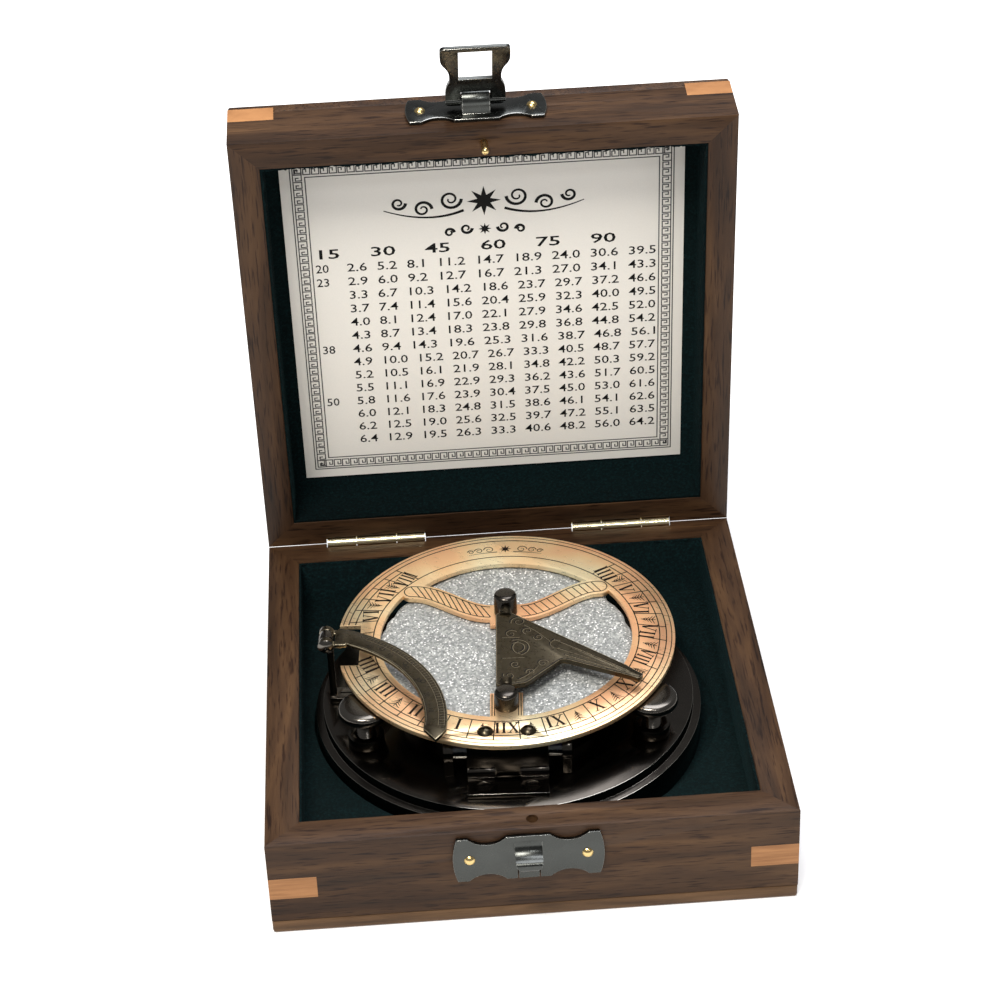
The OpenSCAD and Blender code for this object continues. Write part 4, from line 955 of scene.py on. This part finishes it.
def arcEngraving(spec):
    cx, cy = spec["centre"]
    centre = Vector((cx, cy))
    # the second set of strips is a painted highlight: thin lighter lines shifted beside each groove
    for name, shift, factor, finish, lift in (
        ("arc_grooves", 0.0, 1.0, reliefDark, engraved), ("arc_painted_highlights", 0.16, 0.5, reliefHighlight, 0.03),
    ):
        bm = bmesh.new()
        for r in (spec["inner"] + 0.6, spec["outer"] - 0.55, spec["outer"] - 2.0):
            strip(bm, circlePoints(cx, cy, r - shift, spec["from"], spec["to"]), 0.22 * factor)
        deg = spec["from"]
        while deg <= spec["to"]:
            a = math.radians(deg + shift * 1.4)
            deep = 3.4 if round(deg * 2) % 20 == 0 else 2.0
            d = Vector((math.cos(a), math.sin(a)))
            bar(bm, centre + d * (spec["outer"] - 0.5), centre + d * (spec["outer"] - deep), 0.2 * factor)
            deg += 1.5
        if not shift:
            for deg in range(10, 61, 10):
                a = math.radians(deg - 3.2)
                foot = spec["inner"] + 1.1
                at = Vector((cx + math.cos(a) * foot, cy + math.sin(a) * foot, 0))
                turn = Matrix.Translation(at) @ Matrix.Rotation(a - quarter, 4, "Z")
                figures(bm, str(deg), 1.9, turn)
            for deg in (50.5, 37.2, 23.6):
                a = math.radians(deg)
                mid = (cx + math.cos(a) * 39.4, cy + math.sin(a) * 39.4)
                strip(bm, circlePoints(mid[0], mid[1], 0.62, 0, 360), 0.22)
        place = onInstrument @ Matrix.Translation((0, 0, (spec["up"] + lift) * mm)) @ Matrix.Scale(mm, 4)
        makePiece(name, bm, "arc_body", finish, place=place)


arcEngraving(arcSet)
print("engraving done")

# Printed card: a plain border, an ornament and a table of hour-line angles

cardSet = {
    "size": (108.2, 106.5), "closedMid": (0, 0.25), "face": 43.4, "unit": 2.3, "inset": 3.6,
    "rowStep": 4.45, "firstRow": 20.6, "rows": 15, "left": -38.0, "width": 84.5, "figureSize": 3.7,
    "labelLeft": -46.5, "labelled": (1, 2, 7, 11),
}


def meander(bm, start, ahead, side, count, unit, width):
    # a run of Greek key, one turn to each unit
    at = Vector(start)
    for _ in range(count):
        path = [(0, 0), (0, 1), (0.8, 1), (0.8, 0.32), (0.45, 0.32), (0.45, 0.62)]
        for (a, b), (c, d) in zip(path, path[1:]):
            p = at + ahead * a * unit + side * b * unit
            q = at + ahead * c * unit + side * d * unit
            bar(bm, p, q, width, width / 2)
        bar(bm, at, at + ahead * unit, width, width / 2)
        at = at + ahead * unit


def cardPrint(spec):
    halfW, halfH = spec["size"][0] / 2, spec["size"][1] / 2
    place = (onLid @ Matrix.Translation((0, spec["closedMid"][1] * mm, (spec["face"] - 0.03) * mm))
             @ Matrix.Rotation(math.pi, 4, "X") @ Matrix.Scale(mm, 4))
    bm = bmesh.new()
    unit, inset = spec["unit"], spec["inset"]
    x0, y0 = halfW - inset, halfH - inset
    acrossCount, upCount = int(2 * x0 / unit), int(2 * y0 / unit)
    ux, uy = 2 * x0 / acrossCount, 2 * y0 / upCount
    meander(bm, (-x0, -y0), Vector((1, 0)), Vector((0, 1)), acrossCount, ux, 0.3)
    meander(bm, (x0, y0), Vector((-1, 0)), Vector((0, -1)), acrossCount, ux, 0.3)
    meander(bm, (x0, -y0), Vector((0, 1)), Vector((-1, 0)), upCount, uy, 0.3)
    meander(bm, (-x0, y0), Vector((0, -1)), Vector((1, 0)), upCount, uy, 0.3)
    for gap in (-0.7, 3.2):
        x, y = x0 - gap, y0 - gap
        for p, q in (((-x, -y), (x, -y)), ((x, -y), (x, y)), ((x, y), (-x, y)), ((-x, y), (-x, -y))):
            bar(bm, p, q, 0.3, 0.15)
    makePiece("card_border", bm, "lid", inkGrey, place=place)

    bm = bmesh.new()
    star(bm, 0, 36, 4.6, 1.9, 8)
    star(bm, 0, 27.2, 1.8, 0.8, 8)
    for s in (-1, 1):
        for cx, cy, size, turn in (
            (9, 37, 3.0, 560), (16.5, 34.4, 2.5, -520), (23, 36.6, 2.0, 480), (5, 27.6, 1.6, 430),
            (9.6, 26.6, 1.3, -420),
        ):
            strip(bm, spiralPoints(s * cx, cy, size, 0.5, 90 + s * 90, s * turn), 0.9, 0.4)
        strip(bm, bend((s * 5.5, 33.4), (s * 15, 29.6), (s * 27, 34.6), 12), 0.8, 0.3)
    figures(bm, "15    30    45    60    75    90", 4.2,
            Matrix.Translation((spec["labelLeft"], spec["firstRow"], 0)), 0.05, 82)
    for row in range(1, spec["rows"]):
        y = spec["firstRow"] - row * spec["rowStep"]
        lat = 17 + 3 * row
        values = []
        for step in range(1, 10):
            hour = math.tan(math.radians(7.5 * step)) * math.sin(math.radians(lat))
            values.append("%.1f" % math.degrees(math.atan(hour)))
        figures(bm, "  ".join(values), spec["figureSize"],
                Matrix.Translation((spec["left"], y, 0)), 0.02, spec["width"])
        if row in spec["labelled"]:
            figures(bm, str(lat), spec["figureSize"], Matrix.Translation((spec["labelLeft"], y, 0)), 0.02)
    makePiece("card_figures", bm, "lid", inkBlack, place=place)


cardPrint(cardSet)
print("card done")

# Felt edges: the torn fringe where the felt ends just inside the rims


def feltEdge(name, body, half, height, deep, place, seed):
    rng = random.Random(seed)
    bm = bmesh.new()
    count = 260
    corners = [(-half, -half), (half, -half), (half, half), (-half, half)]
    for k, (start, end) in enumerate(zip(corners, corners[1:] + corners[:1])):
        p, q = Vector(start), Vector(end)
        ahead = (q - p).normalized()
        side = Vector((-ahead.y, ahead.x))
        pairs = []
        for i in range(count + 1):
            at = p + (q - p) * i / count
            wave = noise.noise(Vector((i * 0.13, k * 7.0, seed)))
            reach = deep * (0.55 + 0.45 * wave + 0.35 * rng.random())
            tip = at + side * reach
            outer = at - side * 0.05
            lift = 0.25 * rng.random()
            pairs.append((bm.verts.new((outer.x, outer.y, 0)), bm.verts.new((tip.x, tip.y, -0.1 - lift))))
        for (a, b), (c, d) in zip(pairs, pairs[1:]):
            bm.faces.new((a, b, d, c))
    place = place @ Matrix.Translation((0, 0, height * mm)) @ Matrix.Scale(mm, 4)
    makePiece(name, bm, body, felt, place=place)


feltEdge("lid_felt_fringe", "lid", 58.2, 28.75, 0.9, onLid, 5)
feltEdge("well_felt_fringe", "case", 57.4, 27.7, 0.7, still, 9)
print("fringe done")

# Floor and light

studioSet = {
    "floorColour": "#f6f6f6",
    "boost": 0.3, "farBoost": 0.95,       # the floor's own light as the camera sees it, near and far off
    "near": 0.16, "far": 0.5,             # metres from the case's middle between which it rises
    "worldStrength": 0.24,
}


def stageMaterial(name, colour, spec):
    # painted studio surface, which the camera and the metals see as plain white away from the shadow
    mat, tree, shader = newMaterial(name, {
        "Roughness": 0.9, "Base Color": hexColour(colour), "Specular IOR Level": 0.1})
    path = addNode(tree, "ShaderNodeLightPath")
    seen = computed(tree, "MAXIMUM", path.outputs["Is Camera Ray"], path.outputs["Is Glossy Ray"])
    seen = computed(tree, "MAXIMUM", seen, path.outputs["Is Transmission Ray"])
    away = addNode(tree, "ShaderNodeVectorMath", {"operation": "LENGTH"}, {0: mappedPlace(tree, (1, 1, 1))})
    rise = addNode(tree, "ShaderNodeMapRange", {
        "From Min": spec["near"], "From Max": spec["far"],
        "To Min": spec["boost"], "To Max": spec["farBoost"]}, {"Value": away.outputs["Value"]})
    tree.links.new(computed(tree, "MULTIPLY", seen, rise.outputs[0]), shader.inputs["Emission Strength"])
    shader.inputs["Emission Color"].default_value = hexColour("#ffffff")
    return mat


def addFloor(sizeM, material):
    bm = bmesh.new()
    bmesh.ops.create_grid(bm, x_segments=1, y_segments=1, size=sizeM)
    mesh = bpy.data.meshes.new("floor")
    bm.to_mesh(mesh)
    bm.free()
    obj = bpy.data.objects.new("floor", mesh)
    obj.data.materials.append(material)
    bpy.context.scene.collection.objects.link(obj)


def addLamp(name, place, target, sizeM, watts, colour):
    data = bpy.data.lights.new(name, "AREA")
    data.shape = "SQUARE"
    data.size = sizeM
    data.energy = watts
    data.color = hexColour(colour)[:3]
    obj = bpy.data.objects.new(name, data)
    obj.location = place
    aim = Vector(target) - Vector(place)
    obj.rotation_euler = aim.to_track_quat("-Z", "Y").to_euler()
    bpy.context.scene.collection.objects.link(obj)


addFloor(3, stageMaterial("studio_floor", studioSet["floorColour"], studioSet))
addLamp("window", (-0.18, -0.36, 0.86), (0, 0, 0.05), 0.3, 7.6, "#fffaf2")
addLamp("sky", (0.15, 0.25, 0.88), (0, 0, 0.05), 0.5, 5.0, "#f8f9ff")
addLamp("glint", (0.12, -0.5, 0.62), (0, 0, 0.03), 0.06, 0.5, "#ffffff")
world = bpy.data.worlds.new("studio_world")
bpy.context.scene.world = world
world.use_nodes = True
sky = world.node_tree.nodes["Background"]
sky.inputs["Color"].default_value = hexColour("#ffffff")
path = addNode(world.node_tree, "ShaderNodeLightPath")
strength = computed(world.node_tree, "MAXIMUM", path.outputs["Is Camera Ray"], studioSet["worldStrength"])
world.node_tree.links.new(strength, sky.inputs["Strength"])
print("stage done")
